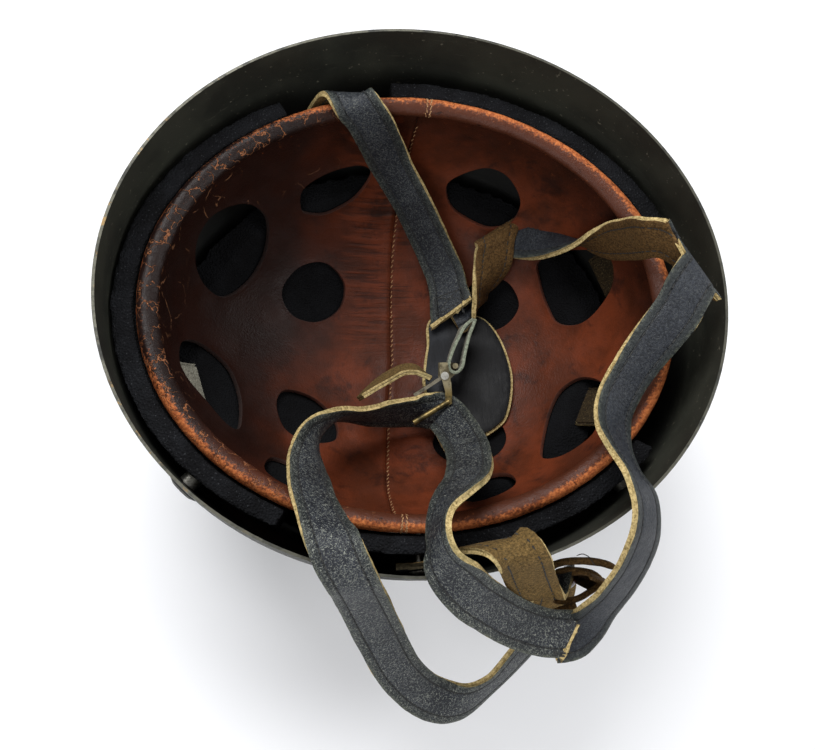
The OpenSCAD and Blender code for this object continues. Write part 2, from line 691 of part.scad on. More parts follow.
shell();
liner_band();
band_sleeves();
vented_bolts();
liner_panel_front();
liner_panel_rear();
liner_edge_roll();
foam_front();
foam_right();
foam_left();
crown_pad();
anchor_tab_rear_left();
anchor_tab_rear_right();
anchor_tab_front_right();
tab_rivets();
strap_rivets();
left_front_strap();
nape_strap();
chin_strap();
joint_wrap();
buttonhole_tab();
button_stud();
button();
buckle_loop();
buckle_frame();
buckle_pin();
buckle_lever();
pull_tab();
ear_guard_outer();
ear_guard_lining();
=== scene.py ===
# A paratrooper helmet lying on its crown: a steel shell, a pierced leather bowl,
# foam, and a harness with a buckle, a flap and a button.
import math

import bpy
from mathutils import Matrix, Vector, noise
from mathutils.geometry import delaunay_2d_cdt


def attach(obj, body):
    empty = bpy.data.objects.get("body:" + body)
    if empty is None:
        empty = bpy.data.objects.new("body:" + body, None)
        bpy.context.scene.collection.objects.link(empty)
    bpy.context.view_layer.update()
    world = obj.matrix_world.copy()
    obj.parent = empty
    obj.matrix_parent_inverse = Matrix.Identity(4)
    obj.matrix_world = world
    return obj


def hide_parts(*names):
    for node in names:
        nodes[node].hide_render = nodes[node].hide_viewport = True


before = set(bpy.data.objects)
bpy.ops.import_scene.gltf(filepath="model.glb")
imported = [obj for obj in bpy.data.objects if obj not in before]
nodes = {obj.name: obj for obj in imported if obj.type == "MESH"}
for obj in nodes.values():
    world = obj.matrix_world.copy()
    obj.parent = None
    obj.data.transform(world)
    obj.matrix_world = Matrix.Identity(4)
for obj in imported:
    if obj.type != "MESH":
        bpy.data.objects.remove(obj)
bpy.ops.object.select_all(action="DESELECT")
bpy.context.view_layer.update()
mm = 0.001
print("frame loaded")


def tone(red, green, blue):
    # a colour as it looks on screen, 0 to 255, made linear
    def one(value):
        value /= 255
        return value / 12.92 if value <= 0.04045 else ((value + 0.055) / 1.055) ** 2.4

    return (one(red), one(green), one(blue), 1)


class Wire:
    # a socket that can be used in sums
    def __init__(self, paint, socket):
        self.paint, self.socket = paint, socket

    def __add__(self, other):
        return self.paint.math("ADD", self, other)

    def __sub__(self, other):
        return self.paint.math("SUBTRACT", self, other)

    def __mul__(self, other):
        return self.paint.math("MULTIPLY", self, other)

    def __rsub__(self, other):
        return self.paint.math("SUBTRACT", other, self)

    __radd__ = __add__
    __rmul__ = __mul__


class Paint:
    # one material and the ways to add nodes to it
    def __init__(self, name):
        self.material = bpy.data.materials.new(name)
        self.material.use_nodes = True
        self.tree = self.material.node_tree
        self.tree.nodes.clear()
        self.place = self.node("TexCoord", out="Object")
        self.map = self.node("TexCoord", out="UV")
        self.colour = None

    def node(self, kind, settings=None, links=None, out=0):
        made = self.tree.nodes.new("ShaderNode" + kind)
        for key, value in (settings or {}).items():
            setattr(made, key, value)
        for key, value in (links or {}).items():
            if isinstance(value, Wire):
                self.tree.links.new(value.socket, made.inputs[key])
            else:
                made.inputs[key].default_value = value
        return Wire(self, made.outputs[out]) if made.outputs else None

    def math(self, operation, first, second=0.0):
        return self.node("Math", {"operation": operation}, {0: first, 1: second})

    def mix(self, share, first, second):
        return self.node("Mix", {"data_type": "RGBA"}, {0: share, 6: first, 7: second}, 2)

    def coat(self, share, shade):
        # another colour over a share of the present one
        self.colour = self.mix(share, self.colour, shade)

    def span(self, value, low, high, start=0.0, end=1.0):
        # a value between low and high, eased to between start and end
        return self.node("MapRange", {"interpolation_type": "SMOOTHSTEP"},
                         {"Value": value, "From Min": low, "From Max": high, "To Min": start, "To Max": end})

    def axes(self, place):
        first = self.node("SeparateXYZ", None, {0: place})
        return [Wire(self, socket) for socket in first.socket.node.outputs]

    def moved(self, place, scale=(1, 1, 1), turn=(0, 0, 0)):
        return self.node("Mapping", None, {"Vector": place, "Rotation": turn, "Scale": scale})

    def cloud(self, place, scale, detail=3.0, rough=0.5, twist=0.0):
        return self.node("TexNoise", None, {"Vector": place, "Scale": scale, "Detail": detail,
                                            "Roughness": rough, "Distortion": twist})

    def haze(self, scale, detail=3, rough=0.6):
        return self.cloud(self.place, scale, detail, rough)

    def patch(self, scale, low, high, detail=3, rough=0.6):
        # 0 to 1 in soft patches
        return self.span(self.haze(scale, detail, rough), low, high)

    def bent(self, place, scale, detail, size):
        # a place pushed about by noise, so that lines drawn on it wander
        push = self.node("TexNoise", None, {"Vector": self.place, "Scale": scale, "Detail": detail}, 1)
        push = self.node("VectorMath", {"operation": "SCALE"}, {0: push, "Scale": size})
        return self.node("VectorMath", {"operation": "ADD"}, {0: place, 1: push})

    def cells(self, place, scale, feature="F1"):
        return self.node("TexVoronoi", {"feature": feature}, {"Vector": place, "Scale": scale})

    def finish(self, rough, shine=0.5, height=None, depth=0.0003, metallic=0.0):
        links = {"Base Color": self.colour, "Roughness": rough, "Specular IOR Level": shine,
                 "Metallic": metallic}
        if height is not None:
            links["Normal"] = self.node("Bump", None, {"Height": height, "Distance": depth, "Strength": 1.0})
        body = self.node("BsdfPrincipled", None, links)
        self.node("OutputMaterial", None, {"Surface": body})
        return self.material


# Finishes
shellLook = {"paint": tone(45, 46, 38), "darkPaint": tone(31, 32, 27), "speck": tone(104, 101, 88),
             "bareSteel": tone(84, 83, 74), "rust": tone(126, 104, 70), "rimHeight": 0.1695}


def makeShellPaint():
    p = Paint("worn olive paint")
    look = shellLook
    x, y, z = p.axes(p.place)
    broad = p.haze(22, 4, 0.6)
    p.colour = p.mix(p.span(broad, 0.35, 0.65), look["darkPaint"], look["paint"])
    fine = p.haze(900, 2, 0.6)
    specks = p.patch(420, 0.67, 0.72, 2, 0.7) * 0.7
    streaks = p.span(p.cloud(p.moved(p.place, (30, 30, 420)), 2.0, 3, 0.6), 0.66, 0.76) * 0.25
    p.coat(p.math("MAXIMUM", specks, streaks), look["speck"])
    # the rim is rubbed down to the metal
    ragged = z + (p.haze(260, 4, 0.7) - 0.5) * 0.0022
    edge = p.span(ragged, look["rimHeight"], look["rimHeight"] + 0.0006)
    patchy = p.patch(90, 0.32, 0.5)
    worn = edge * patchy
    spots = p.patch(210, 0.58, 0.64) * p.span(x, -0.06, -0.13)
    metal = p.mix(spots, look["bareSteel"], look["rust"])
    p.coat(worn, metal)
    # painted shade: low down inside, behind the liner, the paint is darkened to near black
    inward = p.node("VectorMath", {"operation": "DOT_PRODUCT"},
                    {0: p.node("TexCoord", out="Normal"), 1: p.moved(p.place, (1, 1, 0))}, 1)
    low = p.span(inward, 0.0, -0.01) * p.span(z, 0.142, 0.118)
    p.coat(low * 0.85, tone(10, 10, 10))
    rough = p.span(broad, 0.2, 0.8, 0.52, 0.68) - worn * 0.12
    height = fine * 0.5 + broad * 0.4 - worn * 0.4
    return p.finish(rough, 0.4, height, 0.00012, worn * 0.7)


leatherLook = {"light": tone(106, 49, 27), "middle": tone(76, 36, 20), "dark": tone(24, 14, 12),
               "smudge": tone(36, 20, 16), "crack": tone(140, 96, 66), "rubbed": tone(160, 86, 46)}


def bowlTones(p):
    # the bowl is darkest at the wearer's forehead, where its leather is dark; along its upper edge, most on
    # the far side, painted shade darkens it
    look = leatherLook
    x, y, z = p.axes(p.place)
    wander = (p.haze(16) - 0.5) * 0.055
    front = p.span(x + y * -0.25 + wander, -0.01, -0.078)
    # painted shade along the upper edge, strongest on the far side
    high = p.span(z + wander * 0.6, 0.09, 0.132) * p.span(y, -0.06, 0.04, 0.3, 0.72)
    darkToneAndShade = p.math("MAXIMUM", front, high)
    blotch = p.patch(34, 0.36, 0.66, 5, 0.62)
    p.colour = p.mix(blotch, look["middle"], look["light"])
    p.coat(darkToneAndShade * 0.93, look["dark"])
    smudges = p.span(p.cloud(p.place, 58, 4, 0.7, 0.4), 0.52, 0.72) * 0.7
    p.coat(smudges, look["smudge"])
    return darkToneAndShade, front, (x, y, z)


def makeBowlLeather():
    p = Paint("worn bowl leather")
    look = leatherLook
    darkToneAndShade, front, (x, y, z) = bowlTones(p)
    # fine creases run across the leather beside its seam
    creased = p.cloud(p.moved(p.place, (30, 420, 60)), 1.0, 4, 0.55, 0.35)
    nearSeam = p.span(p.math("ABSOLUTE", x + 0.008), 0.034, 0.004) * p.span(y, -0.02, 0.028)
    creases = (creased - 0.5) * nearSeam
    p.coat(p.span(creases, 0.02, 0.12) * 0.5, look["light"])
    p.coat(p.span(creases, -0.02, -0.12) * 0.55, look["smudge"])
    # hairline cracks in the stiff dark leather
    bent = p.bent(p.moved(p.place, (1, 1, 0.55)), 60, 3, 0.012)
    lines = p.span(p.cells(bent, 70, "DISTANCE_TO_EDGE"), 0.028, 0.004)
    broken = p.patch(150, 0.5, 0.58) * p.patch(28, 0.46, 0.56, 2, 0.5)
    cracks = lines * broken * p.span(front, 0.35, 0.8) * p.span(z, 0.086, 0.118)
    p.coat(cracks * 0.8, look["crack"])
    scuffs = p.patch(240, 0.63, 0.73, 4, 0.75) * p.span(z, 0.112, 0.138) * 0.6
    p.coat(scuffs, look["rubbed"])
    dots = p.span(p.cells(p.place, 330), 0.17, 0.1) * p.patch(130, 0.54, 0.62, 2, 0.5) * 0.4
    p.coat(dots, look["smudge"])
    grain = p.cells(p.place, 1150)
    pores = p.haze(620)
    height = grain * 0.3 + pores * 0.55 + creases * 2.6 - cracks * 1.2 + p.haze(90, 3, 0.5) * 0.9
    rough = p.span(p.haze(85, 4, 0.6), 0.3, 0.7, 0.4, 0.58) + cracks * 0.2 - darkToneAndShade * 0.04
    return p.finish(rough, 0.17, height, 0.00035)


def makeHoleEdge():
    p = Paint("cut leather in the holes")
    bowlTones(p)
    fibre = p.haze(500, 4, 0.7)
    p.coat(p.span(fibre, 0.4, 0.7) * 0.45, tone(58, 32, 22))
    return p.finish(0.8, 0.5, fibre, 0.0003)


def makeRollLeather():
    p = Paint("rubbed rolled edge")
    look = leatherLook
    x, y, z = p.axes(p.place)
    along, around, flat = p.axes(p.map)
    # around is 0 on the outer side, a quarter at the top and a half on the inner side
    p.colour = p.mix(p.span(around, 0.2, 0.42), tone(84, 43, 25), tone(72, 38, 25))
    front = p.span(x + y * -0.35 + (p.haze(18) - 0.5) * 0.05, -0.025, -0.085)
    p.coat(front * 0.95, tone(20, 13, 12))
    # the outer ridge is rubbed through its dye
    outer = p.span(around, 0.38, 0.17) + p.span(around, 0.86, 0.95)
    grain = p.haze(620, 4, 0.75)
    patch = p.patch(30, 0.3, 0.62, 4, 0.65)
    strength = p.math("MAXIMUM", p.span(x, -0.1, -0.03, 0.12, 1.0), p.span(y, -0.01, -0.07, 0.12, 1.0))
    worn = p.span(grain + outer * (0.4 + patch * 0.6) * strength * 0.5, 0.62, 0.84)
    fresh = p.mix(p.patch(800, 0.35, 0.65), tone(138, 72, 38), tone(190, 112, 62))
    p.coat(worn, fresh)
    deep = p.patch(300, 0.6, 0.7, 4, 0.7) * 0.7
    p.coat(deep, tone(26, 17, 15))
    # cracks run across the ridge and down its inner side, orange where it is dry
    bent = p.bent(p.moved(p.map, (74, 3.4, 1)), 190, 4, 1.3)
    lines = p.span(p.cells(bent, 1.0, "DISTANCE_TO_EDGE"), 0.034, 0.006)
    dry = lines * p.span(x, 0.0, -0.06, 0.0, 1.0) * p.patch(130, 0.42, 0.5)
    p.coat(dry * 0.8, tone(150, 96, 62))
    # the lowest outer edge shows as a broken tan line against the foam
    hem = p.span(around + (p.haze(120, 4, 0.7) - 0.5) * 0.16, 0.1, 0.05)
    hem = hem * p.patch(90, 0.4, 0.54, 3, 0.7)
    p.coat(hem * 0.8, look["rubbed"])
    height = grain * 0.8 + p.haze(150) * 1.0 - dry * 0.9 - deep * 0.4
    rough = 0.33 + worn * 0.4
    return p.finish(rough, 0.2, height, 0.0004)


def makeFoam():
    p = Paint("black foam rubber")
    pits = p.cells(p.place, 900)
    fleck = p.patch(1100, 0.62, 0.72, 2, 0.6)
    broad = p.haze(60)
    x, y, z = p.axes(p.place)
    # painted shade: deeper in the shell the foam is darkened towards black, and its pale flecks show only
    # near the opening
    unshadedShare = p.span(z, 0.118, 0.138)
    p.colour = p.mix(p.span(broad, 0.3, 0.7), tone(13, 13, 15), tone(25, 26, 29))
    p.coat(fleck * unshadedShare * 0.5, tone(78, 80, 84))
    p.colour = p.mix(unshadedShare, p.mix(0.6, p.colour, tone(4, 4, 5)), p.colour)
    return p.finish(0.95, 0.15, pits * 1.2 + broad, 0.0006)


strapLook = {"skin": tone(42, 46, 54), "worn": tone(92, 96, 102), "deep": tone(23, 26, 31),
             "fleck": tone(150, 153, 142), "green": tone(31, 36, 31), "groove": tone(9, 10, 11)}


def makeStrapGrain(name, wear):
    # wear runs from 0, a smooth pebbled skin, to 1, cracked all over
    p = Paint(name)
    look = strapLook
    across, along, flat = p.axes(p.map)
    mottle = p.haze(900, 4, 0.7)
    patch = p.patch(70, 0.35, 0.66, 4, 0.65)
    p.colour = p.mix(p.span(mottle + (patch - 0.5) * 0.1, 0.3, 0.7), look["deep"], look["skin"])
    bent = p.bent(p.place, 500, 2, 0.0022)
    side = p.math("ABSOLUTE", across)
    p.coat(p.span(side, 0.0056, 0.0086) * 0.5, look["green"])
    crackle = p.span(p.cells(bent, 900, "DISTANCE_TO_EDGE"), 0.075, 0.015)
    broken = p.span(p.haze(900, 2, 0.6) + patch * 0.08, 0.47, 0.57)
    p.coat(crackle * broken * (0.04 + 0.7 * wear), look["fleck"])
    rubbed = p.span(p.haze(1500, 3, 0.75) + patch * 0.05, 0.6, 0.7)
    p.coat(rubbed * (0.16 + 0.38 * wear), look["worn"])
    groove = p.span(p.math("ABSOLUTE", side - 0.0066), 0.0009, 0.0002)
    p.coat(groove * 0.9, look["groove"])
    lip = p.span(side, 0.0088, 0.0102) * p.patch(500, 0.42, 0.6, 3, 0.7)
    p.coat(lip * 0.5, tone(96, 100, 86))
    height = mottle * 0.5 + crackle * -0.3 + p.cells(p.place, 1250) * 0.5 + p.haze(120) * 0.9
    rough = p.span(patch, 0.1, 0.9, 0.46, 0.58) + crackle * 0.1
    return p.finish(rough, 0.3, height, 0.00028)


def makeFlapLeather():
    p = Paint("black flap leather")
    x, y, z = p.axes(p.place)
    broad = p.haze(48, 4, 0.6)
    shade = p.span(x + (broad - 0.5) * 0.01, 0.027, 0.036)
    p.colour = p.mix(shade, tone(29, 31, 36), tone(12, 12, 14))
    p.coat(p.span(broad, 0.5, 0.7) * 0.5, tone(20, 19, 20))
    nap = p.haze(1400, 4, 0.75)
    p.coat(p.span(nap, 0.6, 0.7) * 0.3, tone(76, 78, 80))
    streaks = p.cloud(p.moved(p.place, (500, 90, 90), (0, 0, 0.3)), 1.0, 3, 0.6)
    rough = p.span(broad, 0.3, 0.7, 0.44, 0.6)
    return p.finish(rough, 0.16, nap * 0.5 + streaks * 0.8 + broad, 0.00025)


def makeSuede(name, low, high):
    p = Paint(name)
    nap = p.haze(900, 5, 0.78)
    broad = p.haze(45, 4, 0.6)
    p.colour = p.mix(p.span(nap, 0.36, 0.64), low, high)
    p.coat(p.span(broad, 0.5, 0.75) * 0.45, low)
    pale = p.patch(1500, 0.6, 0.7, 3, 0.7) * 0.4
    p.coat(pale, tone(176, 158, 116))
    return p.finish(0.93, 0.2, nap + broad * 0.6, 0.0005)


def makeCutEdge(name, low, high, stain):
    p = Paint(name)
    fibre = p.haze(700, 4, 0.75)
    broad = p.haze(70)
    p.colour = p.mix(p.span(fibre, 0.34, 0.62), low, high)
    p.coat(p.span(broad, 0.5, 0.72) * 0.5, stain)
    # painted shade: the strap's root between foam and shell is darkened to near black
    x, y, z = p.axes(p.place)
    paintedRootShade = p.span(z, 0.156, 0.148) * p.span(y, -0.092, -0.098) * p.span(y, -0.13, -0.124)
    p.coat(paintedRootShade * 0.92, tone(16, 15, 13))
    return p.finish(0.88, 0.25, fibre, 0.0004)


def makeMetal(name, bright, dull, gloss, tarnish, metallic=0.9):
    p = Paint(name)
    broad = p.haze(140, 4, 0.65)
    scratch = p.cloud(p.moved(p.place, (60, 900, 900), (0.4, 0.2, 0.7)), 1.0, 3, 0.6)
    stain = p.span(broad + (scratch - 0.5) * 0.4, 0.42, 0.62)
    p.colour = p.mix(stain * tarnish, bright, dull)
    fine = p.haze(1500, 2, 0.6)
    rough = p.span(broad, 0.3, 0.7, gloss, gloss + 0.22)
    return p.finish(rough, 0.5, fine * 0.6 + scratch * 0.5, 0.00008, metallic)


def makeBuckleMetal():
    p = Paint("tarnished buckle")
    x, y, z = p.axes(p.place)
    broad = p.haze(160, 4, 0.65)
    brass = p.span(y + (broad - 0.5) * 0.004, -0.022, -0.028)
    pale = p.mix(p.span(broad, 0.4, 0.6), tone(150, 140, 112), tone(88, 80, 60))
    dark = p.mix(p.span(broad, 0.4, 0.62), tone(122, 104, 62), tone(58, 50, 28))
    fine = p.haze(1400, 2, 0.6)
    rough = p.span(broad, 0.3, 0.7, 0.36, 0.52)
    p.colour = p.mix(brass, pale, dark)
    return p.finish(rough, 0.5, fine, 0.00008, 0.75)


def makeButtonLacquer():
    p = Paint("maroon button")
    broad = p.haze(160, 4, 0.6)
    p.colour = p.mix(p.span(broad, 0.35, 0.65), tone(34, 12, 10), tone(82, 26, 18))
    return p.finish(p.span(broad, 0.3, 0.7, 0.22, 0.34), 0.16, broad, 0.00008)


def makeThread(name, dark, pale):
    p = Paint(name)
    twist = p.haze(1600, 2, 0.5)
    p.colour = p.mix(p.span(twist, 0.35, 0.65), dark, pale)
    return p.finish(0.85, 0.5, twist, 0.0002)


shellPaint = makeShellPaint()
bowlLeather = makeBowlLeather()
holeEdge = makeHoleEdge()
rollLeather = makeRollLeather()
foamRubber = makeFoam()
crackedGrain = makeStrapGrain("cracked strap leather", 1.0)
pebbledGrain = makeStrapGrain("pebbled strap leather", 0.12)
rubbedGrain = makeStrapGrain("rubbed strap leather", 0.42)
flapGrain = makeFlapLeather()
oliveSuede = makeSuede("olive suede", tone(66, 52, 28), tone(118, 94, 54))
greySuede = makeSuede("grey suede", tone(104, 102, 92), tone(158, 156, 142))
brownSuede = makeSuede("brown suede", tone(58, 41, 22), tone(110, 82, 46))
shadedSuede = makeSuede("shaded suede", tone(26, 20, 12), tone(58, 46, 27))
shadedEdge = makeCutEdge("shaded cut edge", tone(48, 41, 24), tone(96, 84, 56), tone(36, 32, 20))
cutEdge = makeCutEdge("pale cut edge", tone(122, 104, 62), tone(200, 178, 126), tone(100, 98, 68))
oliveEdge = makeCutEdge("olive cut edge", tone(70, 74, 58), tone(122, 122, 96), tone(56, 60, 48))
loopEdge = makeCutEdge("grey cut edge", tone(92, 98, 84), tone(142, 148, 130), tone(84, 88, 70))
oldSteel = makeMetal("old steel", tone(168, 166, 158), tone(74, 70, 62), 0.3, 0.8)
brightSteel = makeMetal("bright steel", tone(206, 204, 196), tone(110, 104, 92), 0.22, 0.5)
wornSteel = makeMetal("worn steel", tone(132, 126, 110), tone(66, 60, 46), 0.4, 0.85, 0.8)
buckleMetal = makeBuckleMetal()
buttonLacquer = makeButtonLacquer()
darkThread = makeThread("dark thread", tone(24, 25, 27), tone(52, 52, 50))
paleThread = makeThread("pale thread", tone(122, 82, 52), tone(178, 138, 96))
print("finishes made")


# Mesh helpers
def deselect():
    bpy.ops.object.select_all(action="DESELECT")


def hold(piece):
    # makes a piece the only one that operators act on
    deselect()
    piece.select_set(True)
    bpy.context.view_layer.objects.active = piece


def apply(piece, kind, settings):
    hold(piece)
    modifier = piece.modifiers.new(kind.lower(), kind)
    for key, value in settings.items():
        setattr(modifier, key, value)
    bpy.ops.object.modifier_apply(modifier=modifier.name)


def dress(piece, *materials):
    piece.data.materials.clear()
    for material in materials:
        piece.data.materials.append(material)


def smooth(piece, degrees=40):
    hold(piece)
    bpy.ops.object.shade_smooth_by_angle(angle=math.radians(degrees))


def meshPiece(name, points, faces):
    mesh = bpy.data.meshes.new(name)
    mesh.from_pydata([tuple(p) for p in points], [], faces)
    mesh.update()
    piece = bpy.data.objects.new(name, mesh)
    bpy.context.collection.objects.link(piece)
    return piece


def mend(piece, weld=0, loose=False, fill=False, outward=False):
    # welds points closer than weld, drops loose points, fills holes, and turns the faces outward
    hold(piece)
    bpy.ops.object.mode_set(mode="EDIT")
    bpy.ops.mesh.select_all(action="SELECT")
    if weld:
        bpy.ops.mesh.remove_doubles(threshold=weld)
    if loose:
        bpy.ops.mesh.delete_loose()
    if fill:
        bpy.ops.mesh.select_all(action="DESELECT")
        bpy.ops.mesh.select_non_manifold()
        bpy.ops.mesh.fill_holes(sides=0)
        bpy.ops.mesh.select_all(action="SELECT")
    if outward:
        bpy.ops.mesh.normals_make_consistent(inside=False)
    bpy.ops.object.mode_set(mode="OBJECT")


def thicken(piece, thickness, offset=0, behind=1, corner=0.28, degrees=50):
    # a sheet gets its thickness in millimetres, a material behind, one on its rim, and rounded corners
    apply(piece, "SOLIDIFY", {"thickness": thickness * mm, "offset": offset, "use_even_offset": False,
                              "material_offset": behind, "material_offset_rim": 2})
    apply(piece, "BEVEL", {"width": corner * mm, "segments": 2, "limit_method": "ANGLE",
                           "angle_limit": math.radians(degrees)})


def layGrid(name, rows, columns, place):
    # a grid whose points are laid by row and column
    deselect()
    bpy.ops.mesh.primitive_grid_add(x_subdivisions=columns - 1, y_subdivisions=rows - 1, size=1)
    piece = bpy.context.object
    piece.name = piece.data.name = name
    for vertex in piece.data.vertices:
        row = round((vertex.co.y + 0.5) * (rows - 1))
        column = round((vertex.co.x + 0.5) * (columns - 1))
        vertex.co = place(row, column)
    return piece


def curvePoint(a, b, c, d, t):
    square, cube = 2 * a - 5 * b + 4 * c - d, 3 * b - a - 3 * c + d
    return 0.5 * (2 * b + (c - a) * t + square * t * t + cube * t ** 3)


def throughPoints(points, steps, ring=False):
    # a smooth curve through the points
    found = []
    count = len(points)
    for i in range(count if ring else count - 1):
        spots = [(i + k) % count if ring else max(0, min(count - 1, i + k)) for k in (-1, 0, 1, 2)]
        found += [curvePoint(*[points[k] for k in spots], j / steps) for j in range(steps)]
    return found if ring else found + [points[-1]]


def join(pieces, name):
    hold(pieces[0])
    for piece in pieces:
        piece.select_set(True)
    bpy.ops.object.join()
    pieces[0].name = pieces[0].data.name = name
    return pieces[0]


def ribbonFrames(stations, spacing, slanted=False):
    # middle, direction along, direction across and normal at even steps along a route given in millimetres;
    # slanted rows keep their direction across, so that they can follow a fold
    middles = throughPoints([Vector(s[:3]) for s in stations], 12)
    acrosses = throughPoints([Vector(s[3:]) for s in stations], 12)
    lengths = [0.0]
    for a, b in zip(middles, middles[1:]):
        lengths.append(lengths[-1] + (b - a).length)
    count = max(6, round(lengths[-1] / spacing))
    frames, k = [], 0
    for i in range(count + 1):
        want = lengths[-1] * i / count
        while k < len(lengths) - 2 and lengths[k + 1] < want:
            k += 1
        share = (want - lengths[k]) / max(lengths[k + 1] - lengths[k], 1e-6)
        across = acrosses[k].lerp(acrosses[k + 1], share)
        frames.append((middles[k].lerp(middles[k + 1], share), across.normalized(), want))
    full = []
    for i, (middle, across, want) in enumerate(frames):
        along = (frames[min(i + 1, count)][0] - frames[max(i - 1, 0)][0]).normalized()
        lean = across.dot(along)
        normal = along.cross(across).normalized()
        if slanted:
            across = across / max(0.62, math.sqrt(1 - lean * lean))
        else:
            across = (across - lean * along).normalized()
        full.append((middle, along, across, normal, want))
    return full


def wobble(value, seed, size):
    return noise.noise(Vector((value, seed * 7.3, seed * 1.7))) * size


# How a ply lies, in millimetres: its groove, its swell between the grooves, its thinned edge and its end
plyShape = {"grooveInset": 3.9, "plainInset": 2.0, "grooveWidth": 0.45, "grooveDepth": 0.34, "swell": 0.16,
            "edgeDrop": 0.3, "endReach": 20, "gap": 0.06}


def strapPlies(name, stations, width, thick, paints, seed=1, groove=True, spacing=1.6, plies=2,
               slanted=False, ending=None, starting=None):
    # paints are the skin on the normal's side, the face behind, and the cut edge; ending and starting
    # give how much wider that end is, how far it is moved on and how far its cut is slanted
    frames = ribbonFrames(stations, spacing, slanted)
    total = frames[-1][4]
    half = width / 2
    inset = plyShape["grooveInset" if groove else "plainInset"]
    spots = [-1, -0.965, -0.9]
    dip = (half - inset) / half
    spots += [-dip - 0.09, -dip - 0.035, -dip, -dip + 0.035, -dip + 0.09, -dip * 0.5, 0]
    spots += [-s for s in reversed(spots[:-1])]
    made = []
    ply = thick / plies - plyShape["gap"]
    for layer in range(plies):
        top = layer == plies - 1
        side = (layer - (plies - 1) / 2) * (thick / plies)

        def place(row, column):
            middle, along, across, normal, want = frames[row]
            spot = spots[column]
            edge = half + wobble(want / 17, seed + layer, 0.35) * (1 if spot > 0 else -1)
            edge += wobble(want / 3.1, seed + 9 * layer + (3 if spot > 0 else 0), 0.16)
            rise = side + wobble(want / 9, seed + 20, 0.22) * spot
            if groove:
                deep = math.exp(-(((abs(spot) - dip) * half / plyShape["grooveWidth"]) ** 2))
                direction = 1 if top else -1
                rise -= direction * plyShape["grooveDepth"] * deep
                rise += direction * plyShape["swell"] * math.cos(math.pi * min(1, abs(spot) / dip) / 2)
                rise -= direction * plyShape["edgeDrop"] * max(0, (abs(spot) - 0.93) / 0.07)
            for end, reach, direction in ((starting, want, -1), (ending, total - want, 1)):
                if end and reach < plyShape["endReach"]:
                    near = 1 - reach / plyShape["endReach"]
                    edge *= 1 + end[0] * near * near * (3 - 2 * near)
                    middle = middle + along * direction * (end[1] + end[2] * spot) * near
            return (middle + across * spot * edge + normal * rise) * mm

        piece = layGrid(f"{name}Ply{layer}", len(frames), len(spots), place)
        mesh = piece.data
        for loop, coordinate in zip(mesh.loops, mesh.uv_layers.active.data):
            row, column = divmod(loop.vertex_index, len(spots))
            coordinate.uv = (spots[column] * half * mm, frames[row][4] * mm)
        dress(piece, paints[0] if top else paints[1], paints[1], paints[2])
        thicken(piece, ply, behind=1 if plies == 1 else 0)
        made.append(piece)
    piece = join(made, name) if len(made) > 1 else made[0]
    piece.name = piece.data.name = name
    smooth(piece)
    return piece, frames


def threadShape():
    # one short stitch along X, tapered at its ends
    deselect()
    bpy.ops.mesh.primitive_cylinder_add(vertices=6, radius=0.5, depth=1, rotation=(0, math.pi / 2, 0))
    stitch = bpy.context.object
    hold(stitch)
    bpy.ops.object.transform_apply(location=False, rotation=True, scale=False)
    bpy.ops.object.mode_set(mode="EDIT")
    bpy.ops.mesh.select_all(action="DESELECT")
    bpy.ops.object.mode_set(mode="OBJECT")
    for face in stitch.data.polygons:
        face.select = abs(face.normal.x) > 0.9
    bpy.ops.object.mode_set(mode="EDIT")
    bpy.ops.mesh.inset(thickness=0.22)
    bpy.ops.object.mode_set(mode="OBJECT")
    for vertex in stitch.data.vertices:
        if math.hypot(vertex.co.y, vertex.co.z) < 0.4:
            vertex.co.x *= 1.12
            vertex.co.z -= 0.18
    points = [vertex.co.copy() for vertex in stitch.data.vertices]
    faces = [tuple(face.vertices) for face in stitch.data.polygons]
    bpy.data.objects.remove(stitch)
    return points, faces


stitchPoints, stitchFaces = threadShape()


def sewn(name, places, length, size, paint):
    # copies of the stitch: each place is its middle, its direction and the way up, in millimetres
    points, faces = [], []
    for middle, along, up in places:
        along = along.normalized()
        across = up.cross(along).normalized()
        turn = Matrix((along, across, along.cross(across))).transposed()
        start = len(points)
        for p in stitchPoints:
            points.append((middle + turn @ Vector((p.x * length, p.y * size, p.z * size * 0.75))) * mm)
        faces += [tuple(start + v for v in face) for face in stitchFaces]
    piece = meshPiece(name, points, faces)
    dress(piece, paint)
    smooth(piece, 60)
    return piece


threadSizes = {"pitch": 3.1, "length": 2.2, "size": 0.62, "sink": 0.14}


def strapStitches(name, frames, width, thick, paint):
    # two rows of stitches in the grooves, on both faces
    places = []
    count = int(frames[-1][4] / threadSizes["pitch"])
    for edge in (-1, 1):
        for i in range(1, count):
            want = i * threadSizes["pitch"]
            k = min(len(frames) - 1, round(want / frames[-1][4] * (len(frames) - 1)))
            middle, along, across, normal, at = frames[k]
            lean = across * wobble(want, 5 + edge, 0.12)
            for side in (1, -1):
                spot = middle + across * edge * (width / 2 - plyShape["grooveInset"])
                spot += normal * side * (thick / 2 - threadSizes["sink"])
                places.append((spot, along + lean, normal * side))
    return sewn(name, places, threadSizes["length"], threadSizes["size"], paint)


def settle(piece, slot, *replaced, body="helmet"):
    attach(piece, body)
    if replaced:
        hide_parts(*replaced)
    return piece


print("helpers ready")

